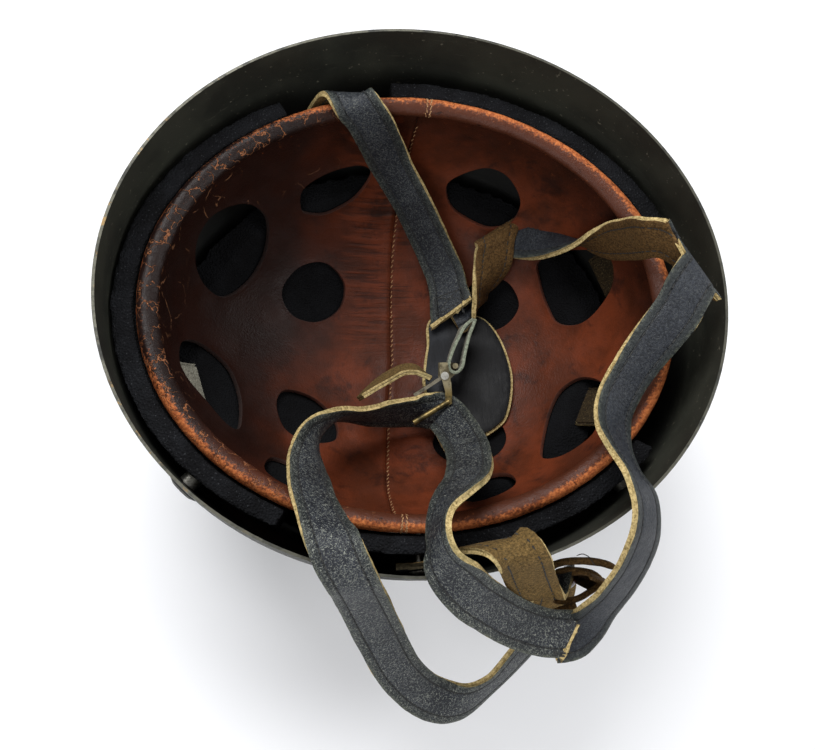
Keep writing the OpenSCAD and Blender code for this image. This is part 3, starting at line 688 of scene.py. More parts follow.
# Routes of the straps: each station is its middle in millimetres, then its direction across
frontRoute = [
    (-42, 98.5, 113, 0.9, 0.35, 0), (-41, 100.5, 124, 0.9, 0.35, 0), (-37.5, 103.5, 133, 0.98, 0.2, 0),
    (-33, 104.5, 142, 1, 0, 0), (-29.5, 102.3, 149.5, 1, 0, 0), (-26, 97, 152, 1, 0, 0),
    (-18.4, 91.8, 144, 1, 0.2, 0.5), (-11.2, 89, 126, 1, 0.2, 0.62), (-4, 86, 108, 1, 0.1, 0.65),
    (7, 76, 92, 1, 0, 0.6), (17, 65, 76, 1, 0, 0.55), (25, 53, 66, 1, 0, 0.5), (30, 41, 62, 1, 0.1, 0.45),
    (32.8, 17.7, 60.9, 0.9, 0.3, 0.4)]
napeRoute = [
    (32.9, 21.9, 56.3, -0.4, 0.8, -0.1), (42, 24.5, 56.6, -0.1, 0.7, -0.5),
    (47.9, 28.7, 60, 0.41, 0.42, -0.81), (48.6, 33.5, 64, 0.49, 0.34, -0.8),
    (50.7, 37.8, 69, 0.73, 0.22, -0.65), (52.8, 43.6, 74, 0.93, 0.07, -0.37),
    (53.7, 49.5, 79, 0.98, -0.03, -0.18), (54.3, 56.5, 82.5, 0.94, 0.29, -0.19),
    (56.3, 63.2, 80.8, 0.84, 0.49, 0.1), (58.5, 64, 77.6, 0.82, 0.57, 0.08),
    (62.9, 61.9, 77, 0.63, 0.77, 0.14), (69.6, 58.6, 81, 0.44, 0.78, 0.44),
    (78.2, 54, 89, 0.44, 0.9, -0.03), (85.7, 50.8, 97, 0.4, 0.77, -0.5),
    (91.9, 47.8, 104, 0.35, 0.46, -0.82), (97.7, 43.7, 115, 0.34, 0.03, -0.94),
    (102.2, 39.5, 127, 0.34, -0.3, -0.89), (104.9, 33.4, 144, 0.38, -0.48, -0.79),
    (106.6, 26.9, 162, 0.39, -0.52, -0.76), (111.8, 24, 168, 0.39, -0.56, -0.73),
    (117.9, 18.2, 171, 0.47, -0.7, -0.55), (122.9, 10.2, 173, 0.49, -0.86, -0.11),
    (125.3, 5.9, 174.4, 0.55, -0.84, -0.06), (123.3, 3, 176.4, 0.55, -0.83, -0.06),
    (119.2, -3.3, 175.6, 0.58, -0.82, -0.03), (115, -11.6, 171, 0.66, -0.75, 0.03),
    (108.2, -20.5, 167, 0.89, -0.44, -0.07), (97.7, -34, 161, 0.93, -0.18, -0.31),
    (89.7, -46.7, 158, 0.92, 0, -0.38), (84.6, -59.2, 161, 0.79, 0.12, -0.6),
    (82.8, -72.3, 170, 0.66, 0.07, -0.75), (84.8, -85, 178, 0.55, 0.13, -0.83),
    (87.9, -97.4, 182, 0.68, 0.2, -0.7), (89.1, -109.7, 176, 0.73, 0.11, -0.68),
    (88.8, -121.1, 161, 0.77, 0.03, -0.63), (85.5, -131.9, 145, 0.78, -0.07, -0.62),
    (80.1, -140.3, 134, 0.69, -0.27, -0.67), (75.8, -146.8, 127.5, 0.57, -0.59, -0.57),
    (69.7, -151, 124.2, 0.31, -0.91, -0.3), (60.9, -152, 124, 0.16, -0.92, -0.35)]
chinRoute = [
    (61, -149.5, 130.5, -0.5, -0.9, 0), (51, -148, 134, -0.4, -0.9, 0),
    (36.2, -143.3, 146, -0.46, -0.88, -0.11), (25.4, -138.3, 158, -0.44, -0.83, -0.34),
    (15.2, -132.6, 170, -0.41, -0.74, -0.53), (6.3, -124.2, 180, -0.34, -0.56, -0.76),
    (1.6, -114.9, 184, -0.23, -0.25, -0.94), (2.6, -105, 180, -0.23, -0.16, -0.96),
    (10.6, -92.6, 166, -0.46, 0.07, -0.89), (21.7, -80, 143, -0.58, 0.17, -0.8),
    (27.1, -67.3, 119, -0.69, 0.09, -0.72), (28.5, -53.3, 94, -0.86, -0.09, -0.51),
    (24.2, -37.3, 72.4, -0.77, -0.17, -0.62), (16, -34, 66.2, -0.4, -0.53, -0.75),
    (4.8, -34.4, 66, 0.02, -0.45, -0.89), (-12.2, -36.9, 74, 0.13, -0.19, -0.97),
    (-31.4, -40.7, 87, 0.18, 0.16, -0.97), (-43.8, -52.7, 103, 0.26, 0.16, -0.95),
    (-48.5, -69, 125, 0.43, 0.15, -0.89), (-48, -86, 151, 0.61, 0.14, -0.78),
    (-44.9, -99, 168, 0.74, 0.2, -0.64), (-41, -110, 179, 1, 0, 0), (-37, -120, 179, 1, 0.1, 0.1),
    (-32, -128, 170, 1, 0.1, 0.1), (-28, -133, 156, 1, 0.1, 0.1), (-19, -146, 128, 0.9, 0.3, 0.1),
    (-7, -164, 100, 0.8, 0.6, 0.1), (9, -177, 79, 0.6, 0.8, 0), (26, -181, 71, 0.2, 0.8, 0.6),
    (42, -173, 69, -0.2, 0.4, 0.9), (55, -160, 75, 0.2, 0.6, 0.7), (65, -147, 84, 0.7, 0.6, 0.3),
    (69, -135, 94, 0.9, 0.4, 0.2), (68, -127, 106, 0.9, 0.36, 0.24), (63.5, -124, 120.4, 0.9, 0.36, 0.24),
    (52, -133, 138, 0.86, 0.1, -0.4), (44.4, -127.5, 156, 0.97, 0.05, -0.2),
    (37, -121, 176.2, 0.98, 0.12, 0.14), (31.7, -116.1, 179.5, 0.97, 0.23, 0),
    (25.5, -114, 174, 0.86, 0.23, -0.46), (18.8, -114.1, 160, 0.5, 0.1, -0.8), (12, -117, 142, 0, 0, -1),
    (2, -118.5, 127, 0, 0, -1), (-8, -119, 123, 0, 0, -1)]
loopRoute = [
    (39.4, 14.4, 69, -0.1, -0.3, 1), (35, 9, 72, -0.1, -0.3, 1), (29.5, -2, 74, -0.1, -0.3, 1),
    (27, -9.5, 74, -0.1, -0.3, 1), (27.6, -13, 73.2, -0.1, -0.3, 1), (30.8, -14.2, 73.2, -0.1, -0.3, 1),
    (33.6, -11.6, 74.3, -0.1, -0.3, 1), (35, -6.5, 74.5, -0.1, -0.3, 1), (37.6, 3, 73.5, -0.1, -0.3, 1),
    (41.8, 13.4, 71, -0.1, -0.3, 1)]
pullRoute = [
    (17.5, -17.8, 72, -0.1, -0.2, 0.97), (13.8, -15.2, 72, -0.1, -0.35, 0.93),
    (8.8, -12.4, 72, -0.05, -0.5, 0.86), (2.2, -12.9, 72, 0, -0.5, 0.86),
    (-5.3, -16.9, 72, 0.1, -0.45, 0.88), (-13, -22.2, 72.2, 0.1, -0.35, 0.93),
    (-20, -27.9, 72.5, 0, -0.2, 0.97)]
holeTabRoute = [
    (55.1, -131.8, 118.1, -0.34, 0.09, 0.93), (64.7, -127.8, 121.2, -0.34, 0.09, 0.93),
    (74.4, -123.8, 124.4, -0.34, 0.09, 0.93), (80, -125, 130, -0.4, 0, 0.9),
    (82, -128.5, 136, -0.6, 0, 0.7)]
wrapRoute = [
    (76, -146, 119.7, -0.4, -0.9, 0.1), (68, -148, 120.2, -0.5, -0.9, 0.1),
    (59, -151, 120.2, -0.5, -0.9, 0.1)]

# Straps
strapSizes = {"width": 21, "thick": 3.4}
frontEnd = (0.14, -5.75, -5.75)
chinStart = (0.0, 6.5, -4.5)
cutEnd = {"rows": 7, "length": 1.8, "overhang": 1.02, "forward": 0.55, "ragged": 0.3}
endThread = {"pitch": 2.6, "length": 2.3, "lift": 0.12}


def cutStrip(name, frames, width, thick, end, first, seed):
    # the raw edge at a strap's slanted end, where both plies show
    middle, along, across, normal, want = frames[0 if first else -1]
    direction = -1 if first else 1
    stations = []
    for k in range(cutEnd["rows"]):
        spot = (k * 2 / (cutEnd["rows"] - 1) - 1) * cutEnd["overhang"]
        forward = cutEnd["forward"] + wobble(k, seed, cutEnd["ragged"])
        place = middle + across * spot * width / 2 * (1 + end[0])
        place += along * direction * (end[1] + end[2] * spot + forward)
        stations.append((*place, *(along * direction)))
    piece, rows = strapPlies(name, stations, cutEnd["length"], thick, [cutEdge] * 3, seed, False, 1.0, 1)
    return settle(piece, "strap_leather")


def endStitches(name, frames, width, thick, end, first, lines, size=0.7):
    # stitches along lines given as (across, distance from the end) at both ends of each line
    places = []
    row = frames[0 if first else -1]
    direction = -1 if first else 1
    for (s0, d0), (s1, d1) in lines:
        reach = math.hypot((s1 - s0) * width / 2, d1 - d0)
        count = max(2, round(reach / endThread["pitch"]))
        for i in range(count):
            t = (i + 0.5) / count
            spot, back = s0 + (s1 - s0) * t, d0 + (d1 - d0) * t
            ordered = frames if first else frames[::-1]
            k = min(range(len(ordered)), key=lambda n: abs(abs(ordered[n][4] - row[4]) - back))
            middle, along, across, normal, want = ordered[k]
            near = max(0, 1 - back / plyShape["endReach"])
            spread = width / 2 * (1 + end[0] * near)
            place = middle + across * spot * spread + along * direction * (end[1] + end[2] * spot) * near
            way = across * (s1 - s0) * width / 2 - along * direction * (d1 - d0)
            places.append((place + normal * (thick / 2 + endThread["lift"]), way, normal))
    return settle(sewn(name, places, endThread["length"], size, darkThread), "strap_leather")


for name, route, skin, behind, node, seed, ending, starting in (
        ("frontStrap", frontRoute, rubbedGrain, oliveSuede, "left_front_strap", 1, frontEnd, None),
        ("napeStrap", napeRoute, pebbledGrain, brownSuede, "nape_strap", 2, None, None),
        ("chinStrap", chinRoute, crackedGrain, oliveSuede, "chin_strap", 3, None, chinStart)):
    section = (strapSizes["width"], strapSizes["thick"])
    piece, frames = strapPlies(name, route, *section, (skin, behind, cutEdge), seed,
                               slanted=node == "nape_strap", ending=ending, starting=starting)
    if ending:
        # a box of stitches, crossed corner to corner
        cutStrip("frontStrapEnd", frames, *section, ending, False, 21)
        box = [(-0.72, 3.5), (0.72, 3.5), (0.72, 14.5), (-0.72, 14.5)]
        lines = [(box[a], box[b]) for a, b in ((0, 1), (1, 2), (2, 3), (3, 0), (0, 2), (1, 3))]
        endStitches("frontStrapBox", frames, *section, ending, False, lines)
    if starting:
        cutStrip("chinStrapEnd", frames, *section, starting, True, 22)
        lines = [((spot, -1.5), (spot, 4)) for spot in (-0.62, -0.5, 0.9, 0.78)]
        endStitches("chinStrapBars", frames, *section, starting, True, lines, 0.9)
    settle(piece, "strap_leather", node)
    settle(strapStitches(name + "Stitches", frames, *section, darkThread), "strap_leather")
print("straps made")

# Small straps: body, slot, node, route, width, thickness, plies, then skin, back and edge
smallStraps = {
    "buckleLoop": ("helmet", "tan_suede", "buckle_loop", loopRoute, 11, 1.7, 1,
                   greySuede, greySuede, loopEdge),
    "pullTab": ("buckle_lever", "tan_suede", "pull_tab", pullRoute, 13, 2.89, 2,
                oliveSuede, flapGrain, cutEdge),
    "buttonholeTab": ("helmet", "tan_suede", "buttonhole_tab", holeTabRoute, 14, 1.7, 1,
                      brownSuede, brownSuede, brownSuede),
    "jointWrap": ("helmet", "strap_leather", "joint_wrap", wrapRoute, 21, 1.7, 1,
                  pebbledGrain, brownSuede, cutEdge)}
for seed, (name, kind) in enumerate(smallStraps.items(), 4):
    body, slot, node, route, width, thick, plies, *paints = kind
    piece, frames = strapPlies(name, route, width, thick, paints, seed, False, 1.0, plies)
    settle(piece, slot, node, body=body)

# The buttonhole tab's rolled ends, round the button and up to the nape strap, and a loose thread:
# half the width, half the height, finish, sides, then points
tabArms = {
    "buttonTabRound": (1.5, 2.6, brownSuede, 10,
                       [(62.5, -135.6, 120.5), (72.6, -134.9, 121.5), (79.4, -131.6, 123.5),
                        (84, -127.5, 126), (79.5, -123.4, 128), (70, -122, 128.5), (62, -122.6, 128)]),
    "buttonTabUpper": (1.7, 3.0, brownSuede, 10,
                       [(59, -123.6, 126), (60, -120.8, 129.5), (64, -118.8, 131), (71.1, -118.1, 132),
                        (81.5, -118.9, 133), (89, -122, 136)]),
    "looseThread": (0.22, 0.22, darkThread, 6,
                    [(69.4, -116.5, 140), (71.7, -115.9, 143), (74.2, -117.8, 145), (76, -119.9, 143),
                     (78.8, -120.9, 137)])}


def cordPiece(name, wide, high, paint, sides, points):
    # a rolled strip with an oval section through the points, rounded off at its ends
    path = throughPoints([Vector(point) for point in points], 6)
    rows = len(path)

    def place(row, column):
        along = (path[min(row + 1, rows - 1)] - path[max(row - 1, 0)]).normalized()
        side = along.cross(Vector((0, 0, 1))).normalized()
        rise = side.cross(along)
        end = min(row, rows - 1 - row)
        size = (0.02, 0.62, 0.86, 0.97)[end] if end < 4 else 1.0
        turn = 2 * math.pi * column / sides
        uneven = 1 + 0.07 * noise.noise(path[row] / 2 + Vector((turn, 0, 0)))
        reach = side * math.cos(turn) * wide + rise * math.sin(turn) * high
        return (path[row] + reach * size * uneven) * mm

    piece = layGrid(name, rows, sides + 1, place)
    mend(piece, 0.000004, fill=True, outward=True)
    dress(piece, paint)
    smooth(piece, 60)
    return piece


for name, kind in tabArms.items():
    settle(cordPiece(name, *kind), "tan_suede")
print("small straps made")

# Leather bowl, cut from two pieces with holes and sewn down its middle
bowlSizes = {"radius": 120, "ratio": 202 / 240, "depth": 100, "top": 140, "fullness": 2.15, "leather": 2.3,
             "grid": 2.2, "leanLeft": 10.6, "leanRight": 8.0, "lipGap": 1.9, "seamGap": 3.2, "edgeGap": 1.6}
holeShapes = [
    # azimuth, distance from the bowl's middle along the leather, then outline points (up the wall, round)
    (108.9, 118.3, [(-6, 22), (6, 18.5), (13, 0), (12.5, -20), (4, -25), (-8, -13), (-14, 6), (-11, 19)]),
    (147.3, 120.1, [(12, 25), (24, 11), (26, -8), (12, -30), (-6, -33), (-19, -18), (-24, 4), (-19, 25),
      (-5, 30)]),
    (195.3, 112.2, [(21, -15), (14, -28), (-1, -28.5), (-16, -14), (-18.5, 8), (-11, 31), (-2, 32),
      (8, 15), (19, -3)]),
    (134.6, 62.9, [(13, 14), (18, -4), (10, -18.5), (-7, -18), (-17.5, -4), (-15, 12.5), (-2, 20)]),
    (220.7, 65, [(8, -17), (-4, -22), (-14, -8.5), (-13, 10), (-3, 21.5), (10, 15.5), (16, 0)]),
    (236.7, 111.3, [(10, -15), (-6, -18), (-11, -6), (-9, 10), (-4, 19), (8, 17), (13, 2)]),
    (64, 121.1, [(-2, 23), (9, 18), (20, 5), (20, -10), (8, -24), (-8, -25), (-17, -14), (-17, 1),
      (-13, 15)]),
    (20.6, 116.9, [(-14, 27.5), (1, 27.5), (25, 13), (30, 0), (20, -16), (-5, -25.5), (-20, -18),
      (-21.5, -2), (-18, 18)]),
    (-29.7, 117.2, [(-9, -27), (-18, 0), (-19.5, 20), (-10, 32), (7, 28.5), (14, 7), (21, -11),
      (12, -28.5), (-1, -35)]),
    (32.5, 68, [(17, 4), (12, 14), (0, 18), (-13, 12), (-18, 0), (-13, -13), (0, -17), (13, -11)]),
    (-55.2, 72.5, [(20, 2), (14, 15), (0, 21), (-15, 15), (-21, 0), (-14, -15), (0, -20), (14, -14)]),
    (-65.5, 116, [(10, -14), (-4, -18), (-12, -8), (-12, 8), (-5, 17), (7, 15), (12, 2)])]


def bowlProfile():
    # radius, height and length along the leather, from the middle to the edge
    found, length, before = [], 0.0, None
    for i in range(401):
        angle = math.pi / 2 * i / 400
        radius = bowlSizes["radius"] * math.sin(angle) ** (2 / bowlSizes["fullness"])
        height = bowlSizes["top"] - bowlSizes["depth"] * math.cos(angle) ** (2 / bowlSizes["fullness"])
        if before:
            length += math.hypot(radius - before[0], height - before[1])
        before = (radius, height)
        found.append((length, radius, height))
    return found


profile = bowlProfile()
bowlReach = profile[-1][0]


def bowlSection(length):
    low, high = 0, len(profile) - 1
    while high - low > 1:
        middle = (low + high) // 2
        if profile[middle][0] < length:
            low = middle
        else:
            high = middle
    share = (length - profile[low][0]) / max(profile[high][0] - profile[low][0], 1e-9)
    share = max(0, min(1, share))
    return [profile[low][k] + (profile[high][k] - profile[low][k]) * share for k in (1, 2)]


def bowlPlace(flat, out=0.0):
    # a point of the flat pattern, in millimetres, laid on the bowl and moved out of it
    length = math.hypot(flat[0], flat[1])
    angle = math.atan2(flat[1], flat[0])
    radius, height = bowlSection(length)
    nearRadius, nearHeight = bowlSection(max(0, length - 1))
    slope = Vector((radius - nearRadius, 0, height - nearHeight)).normalized()
    ratio, x, y = bowlSizes["ratio"], math.cos(angle), math.sin(angle)
    normal = Vector((slope.z * x * ratio, slope.z * y, -slope.x * ratio)).normalized()
    return Vector((radius * x, radius * y * ratio, height)) + normal * out, normal


def outOf(ring, i, middle):
    # the direction out of a ring at one of its points
    ahead = ring[(i + 1) % len(ring)] - ring[i - 1]
    out = Vector((ahead.y, -ahead.x)).normalized()
    return out if out.dot(ring[i] - middle) > 0 else -out


def holeOutline(shape, grow=0.0):
    azimuth, length, points = shape
    middle = Vector((math.cos(math.radians(azimuth)), math.sin(math.radians(azimuth)))) * length
    up = middle.normalized()
    across = Vector((-up.y, up.x))
    ring = throughPoints([Vector(p) for p in points], 8, True)
    found = []
    for i, p in enumerate(ring):
        p = p + outOf(ring, i, Vector((0, 0))) * grow
        found.append(middle + up * p.x + across * p.y)
    return found


def inside(point, ring):
    found = False
    for a, b in zip(ring, ring[1:] + ring[:1]):
        if (a.y > point.y) != (b.y > point.y):
            if point.x < (b.x - a.x) * (point.y - a.y) / (b.y - a.y) + a.x:
                found = not found
    return found


def boxRound(ring, grow=0):
    across, up = [p.x for p in ring], [p.y for p in ring]
    return min(across) - grow, max(across) + grow, min(up) - grow, max(up) + grow


def within(box, p):
    return box[0] < p.x < box[1] and box[2] < p.y < box[3]


def inAny(p, rings, boxes):
    return any(within(box, p) and inside(p, ring) for box, ring in zip(boxes, rings))


def cutSheet(name, points, loops, holes, keep, place):
    # a flat pattern filled with triangles, cut along its loops, and laid in space by place
    rows, edges = list(points), []
    for ring in loops + holes:
        start = len(rows)
        rows += ring
        edges += [(start + i, start + (i + 1) % len(ring)) for i in range(len(ring))]
    found = delaunay_2d_cdt(rows, edges, [], 0, 0.01, False)
    corners, faces = found[0], found[2]
    boxes = [boxRound(hole) for hole in holes]
    kept = []
    for face in faces:
        middle = sum((corners[v] for v in face), Vector((0, 0))) / len(face)
        if keep(middle) and not inAny(middle, holes, boxes):
            kept.append(tuple(face))
    piece = meshPiece(name, [place(p) for p in corners], kept)
    mend(piece, loose=True)
    return piece


bowlWear = {"swell": 0.9, "ripple": 0.3, "lipCurl": 0.55, "seamRidge": 0.6, "seamDip": 0.35, "pucker": 0.16}
seamStitch = {"pitch": 3.3, "length": 1.9, "size": 0.55, "side": 1.1, "sink": 0.12}
lips = [holeOutline(shape) for shape in holeShapes]
lipBoxes = [boxRound(lip, 8) for lip in lips]


def seamBend(flat):
    # the seam leans to the rear at the wearer's left and to the front at the right
    rise = max(0, (flat.y - 65) / 111)
    lean = bowlSizes["leanLeft"] * rise ** 1.5 - bowlSizes["leanRight"] * min(1, max(0, -flat.y / 97))
    return Vector((flat.x + lean * math.exp(-((flat.x / 12) ** 2)), flat.y))


def toLip(p):
    # distance from a point of the pattern to the nearest hole
    best = 99.0
    for box, ring in zip(lipBoxes, lips):
        if within(box, p):
            best = min(best, min((p - q).length for q in ring))
    return best


def bowlSkin(flat):
    # the worn leather isn't quite even: it swells, curls at its holes and dips at its seam
    place, normal = bowlPlace(seamBend(flat))
    lip = toLip(flat)
    length = flat.length
    out = noise.noise(place / 34) * bowlWear["swell"] * min(1, length / 40)
    out = (out + noise.noise(place / 13) * bowlWear["ripple"]) * min(1, max(0, (bowlReach - length) / 12))
    out -= bowlWear["lipCurl"] * math.exp(-lip / 2.4)
    seam = abs(flat.x)
    out += bowlWear["seamRidge"] * math.exp(-((seam / 1.1) ** 2))
    out -= bowlWear["seamDip"] * math.exp(-(((seam - 2.4) / 1.2) ** 2))
    pucker = math.cos(2 * math.pi * flat.y / seamStitch["pitch"]) * math.exp(-seam / 2.2)
    out += bowlWear["pucker"] * pucker
    return (place + normal * max(-1.2, out)) * mm


spacing = bowlSizes["grid"]
clearPoints = []
ringCount = int((bowlReach - 1.0) / spacing)
for i in range(ringCount + 1):
    length = (bowlReach - 1.0) * i / ringCount
    count = max(1, round(2 * math.pi * length / spacing))
    for k in range(count):
        angle = 2 * math.pi * (k + 0.5 * (i % 2)) / count
        p = Vector((length * math.cos(angle), length * math.sin(angle)))
        clear = abs(p.x) >= bowlSizes["seamGap"] and p.length <= bowlReach - bowlSizes["edgeGap"]
        if clear and toLip(p) >= bowlSizes["lipGap"] and not inAny(p, lips, lipBoxes):
            clearPoints.append(p)
collars = [holeOutline(shape, 1.0) for shape in holeShapes]
seamColumns = (0.1, 0.8, 1.6, 2.5)
for name, sign, node in (("bowlFront", -1, "liner_panel_front"), ("bowlRear", 1, "liner_panel_rear")):
    # the pattern's half disc: a straight seam and a round edge
    reach = bowlReach - 0.5
    start = math.asin(0.1 / reach)
    arc = []
    steps = round(math.pi * reach / spacing)
    for i in range(steps + 1):
        angle = -math.pi / 2 + start + (math.pi - 2 * start) * i / steps
        arc.append(Vector((reach * math.cos(angle) * sign, reach * math.sin(angle))))
    seamSteps = round(2 * reach / 1.1)
    fall = (arc[0].y - arc[-1].y) / seamSteps
    outline = arc + [Vector((0.1 * sign, arc[-1].y + fall * i)) for i in range(1, seamSteps)]
    own = [p for p in clearPoints if p.x * sign > 0]
    for column in seamColumns[1:]:
        for i in range(1, seamSteps):
            p = Vector((column * sign, -reach + 2 * reach * i / seamSteps))
            if p.length < reach - 1.2 and toLip(p) > 1.2:
                own.append(p)
    holes = [h for h in lips if h[0].x * sign > 0]
    own += [p for c in collars if c[0].x * sign > 0 for p in c]
    piece = cutSheet(name, own, [outline], holes, lambda m: m.x * sign > 0.1 and m.length < reach, bowlSkin)
    mend(piece, outward=True)
    upward = sum(face.normal.z * face.area for face in piece.data.polygons)
    if upward < 0:
        piece.data.flip_normals()
    dress(piece, bowlLeather, holeEdge, holeEdge)
    thicken(piece, bowlSizes["leather"], -1, corner=0.4, degrees=55)
    smooth(piece, 45)
    settle(piece, "brown_leather", node)
print("bowl made", len(clearPoints))

# Stitches down the bowl's seam
places = []
count = int(2 * (bowlReach - 9) / seamStitch["pitch"])
for i in range(count):
    y = -(bowlReach - 9) + i * seamStitch["pitch"]
    flat = Vector((seamStitch["side"] * (1 if i % 2 else 0.72), y))
    place, normal = bowlPlace(seamBend(flat))
    ahead = bowlPlace(seamBend(flat + Vector((0.5, 1))))[0] - place
    places.append((place - normal * seamStitch["sink"], ahead, -normal))
stitches = sewn("seamStitches", places, seamStitch["length"], seamStitch["size"], paleThread)
settle(stitches, "brown_leather")

# Rolled edge of the bowl
rollSizes = {"ring": 121.5, "radius": 4.4, "height": 143, "ratio": bowlSizes["ratio"],
             "around": 36, "along": 420, "joints": (266.3, 85.0)}
rollWear = {"swell": 0.07, "bumps": 0.03, "notch": 0.14, "crease": 0.16, "inward": 0.5}


def rollPlace(row, column):
    angle = 2 * math.pi * row / rollSizes["along"]
    turn = 2 * math.pi * column / rollSizes["around"]
    spot = Vector((math.cos(angle) * 4, math.sin(angle) * 4, 0))
    uneven = rollWear["swell"] * noise.noise(spot * 1.3) + rollWear["bumps"] * noise.noise(spot * 6)
    size = rollSizes["radius"] * (0.95 + uneven)
    # the joints of the leather's ends leave a notch on each side
    joint = sum(math.exp(-(((math.degrees(angle) - j) / 0.9) ** 2)) for j in rollSizes["joints"])
    size *= 1 - rollWear["notch"] * joint * (0.5 + 0.5 * math.sin(turn))
    flatten = 1 - 0.08 * max(0, math.cos(turn)) - 0.05 * max(0, math.sin(turn))
    size += rollWear["crease"] * noise.noise(Vector((spot.x * 7.5, spot.y * 7.5, turn * 1.5)))
    # its inner half is fuller, where the leather turns down into the bowl
    full = 1 + rollWear["inward"] * max(0, -math.cos(turn)) ** 0.7
    radius = rollSizes["ring"] + size * flatten * full * math.cos(turn)
    height = rollSizes["height"] + size * math.sin(turn) * (1.0 if turn < math.pi else 0.95)
    return Vector((radius * math.cos(angle), radius * math.sin(angle) * rollSizes["ratio"], height)) * mm


roll = layGrid("edgeRoll", rollSizes["along"] + 1, rollSizes["around"] + 1, rollPlace)
columns = rollSizes["around"] + 1
for loopCorner, coordinate in zip(roll.data.loops, roll.data.uv_layers.active.data):
    row, column = divmod(loopCorner.vertex_index, columns)
    coordinate.uv = (row / rollSizes["along"], column / rollSizes["around"])
mend(roll, 0.00001, outward=True)
dress(roll, rollLeather)
smooth(roll, 60)
settle(roll, "brown_leather", "liner_edge_roll")

# Frayed stitches over the roll's joints
places = []
for joint in rollSizes["joints"]:
    row = joint / 360 * rollSizes["along"]
    for k in range(13):
        column = rollSizes["around"] * (0.01 + 0.042 * k)
        side = (0.62 if k % 2 else -0.62) + 0.25 * noise.noise(Vector((k * 1.7, joint, 0)))
        first = rollPlace(row + side, column - 0.5) / mm
        last = rollPlace(row + side * 0.8, column + 0.5) / mm
        middle = (first + last) / 2
        ring = Vector((middle.x, middle.y, 0)).normalized() * rollSizes["ring"]
        up = (middle - Vector((ring.x, ring.y * rollSizes["ratio"], rollSizes["height"]))).normalized()
        places.append((middle + up * 0.1, last - first, up))
settle(sewn("rollStitches", places, 2.3, 0.55, paleThread), "brown_leather")
print("rolled edge made")


# Foam
foamWear = {"swell": 0.5, "pits": 0.3, "sink": 0.25}


def foamFrom(name, node, voxel, rough, fill):
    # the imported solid's shape, softened and roughened
    mesh = nodes[node].data.copy()
    piece = bpy.data.objects.new(name, mesh)
    bpy.context.collection.objects.link(piece)
    mend(piece, 0.00001)
    apply(piece, "REMESH", {"mode": "VOXEL", "voxel_size": voxel * mm})
    apply(piece, "SMOOTH", {"factor": 0.5, "iterations": 2})
    for vertex in piece.data.vertices:
        spot = vertex.co / mm
        push = noise.noise(spot / 16) * foamWear["swell"] + noise.noise(spot / 4.5) * foamWear["pits"]
        vertex.co += vertex.normal * (push - foamWear["sink"]) * rough * mm
    dress(piece, foamRubber)
    smooth(piece, 60)
    settle(piece, "black_foam", node)
    return piece


for kind in (("foamFront", "foam_front", 1.5, 1.0, 0.9), ("foamRight", "foam_right", 1.5, 1.0, 0.9),
             ("foamLeft", "foam_left", 1.5, 1.0, 0.9), ("crownPad", "crown_pad", 3.0, 0.6, 0.8)):
    foamFrom(*kind)
print("foam made")

# Leather ends behind three of the holes
tabSizes = {"width": 22, "thick": 1.7, "out": 6.2}
# azimuth and where each one starts, as the length along the bowl's leather
tabKinds = (("rearLeftTab", 17, 127, "anchor_tab_rear_left", shadedSuede, shadedEdge),
            ("rearRightTab", -19, 112, "anchor_tab_rear_right", shadedSuede, cutEdge),
            ("frontRightTab", -168, 107, "anchor_tab_front_right", greySuede, greySuede))
for name, azimuth, first, node, skin, edge in tabKinds:
    turn = math.radians(azimuth)
    ring = math.atan2(math.sin(turn) / bowlSizes["ratio"], math.cos(turn))
    across = Vector((-math.sin(ring), math.cos(ring) * bowlSizes["ratio"], 0))
    stations = []
    for k in range(8):
        length = first + (160 - first) * k / 7
        flat = Vector((math.cos(ring), math.sin(ring))) * length
        place, normal = bowlPlace(flat, tabSizes["out"])
        stations.append((*place, *across))
    piece, frames = strapPlies(name, stations, tabSizes["width"], tabSizes["thick"], (skin, skin, edge),
                               11, False, 1.2, 1)
    settle(piece, "tan_suede", node)
print("tabs made")

# Flap under the left joint: two plies of leather
flap = {"place": (35, 18, 51.8), "tilt": (-6.8, -6.8, 0), "ply": 1.6, "grid": 3.0}
flapOutline = [(-15, 1), (-15.5, -11), (-17.5, -23), (-18.5, -35), (-15, -49), (-6, -61),
               (4, -66.5), (13, -65), (21, -60), (26, -54), (29.5, -41), (30, -29),
               (27, -14), (21, -1), (12, 6), (-8, 7)]
flapTurn = Matrix.Identity(3)
for degrees, axis in zip(flap["tilt"], "XYZ"):
    flapTurn = Matrix.Rotation(math.radians(degrees), 3, axis) @ flapTurn
flapRing = throughPoints([Vector(p) for p in flapOutline], 4, True)


def flapSheet(name, height, shrink, skin, behind, rim, node, seed):
    ring = []
    for i, p in enumerate(flapRing):
        out = outOf(flapRing, i, Vector((6, -30)))
        ring.append(p - out * (shrink + wobble(i / 3, seed, 0.25)))
    points = []
    step = flap["grid"]
    for i in range(-12, 14):
        for k in range(-26, 6):
            p = Vector((i * step + (k % 2) * step / 2, k * step * 0.87))
            if inside(p, ring) and min((p - q).length for q in ring) > step * 0.6:
                points.append(p)

    def place(p):
        bend = noise.noise(Vector((p.x / 22, p.y / 22, seed * 0.2))) * 0.25
        return (Vector(flap["place"]) + flapTurn @ Vector((p.x, p.y, height + bend))) * mm

    piece = cutSheet(name, points, [ring], [], lambda m: inside(m, ring), place)
    if sum(face.normal.z for face in piece.data.polygons) < 0:
        piece.data.flip_normals()
    dress(piece, skin, behind, rim)
    layer = piece.data.uv_layers.new(name="flapMap")
    for corner in layer.data:
        corner.uv = (0.001, 0.001)
    thicken(piece, flap["ply"], corner=0.3)
    smooth(piece)
    settle(piece, "strap_leather" if node == "ear_guard_outer" else "tan_suede", node, body="ear_guard")
    return piece


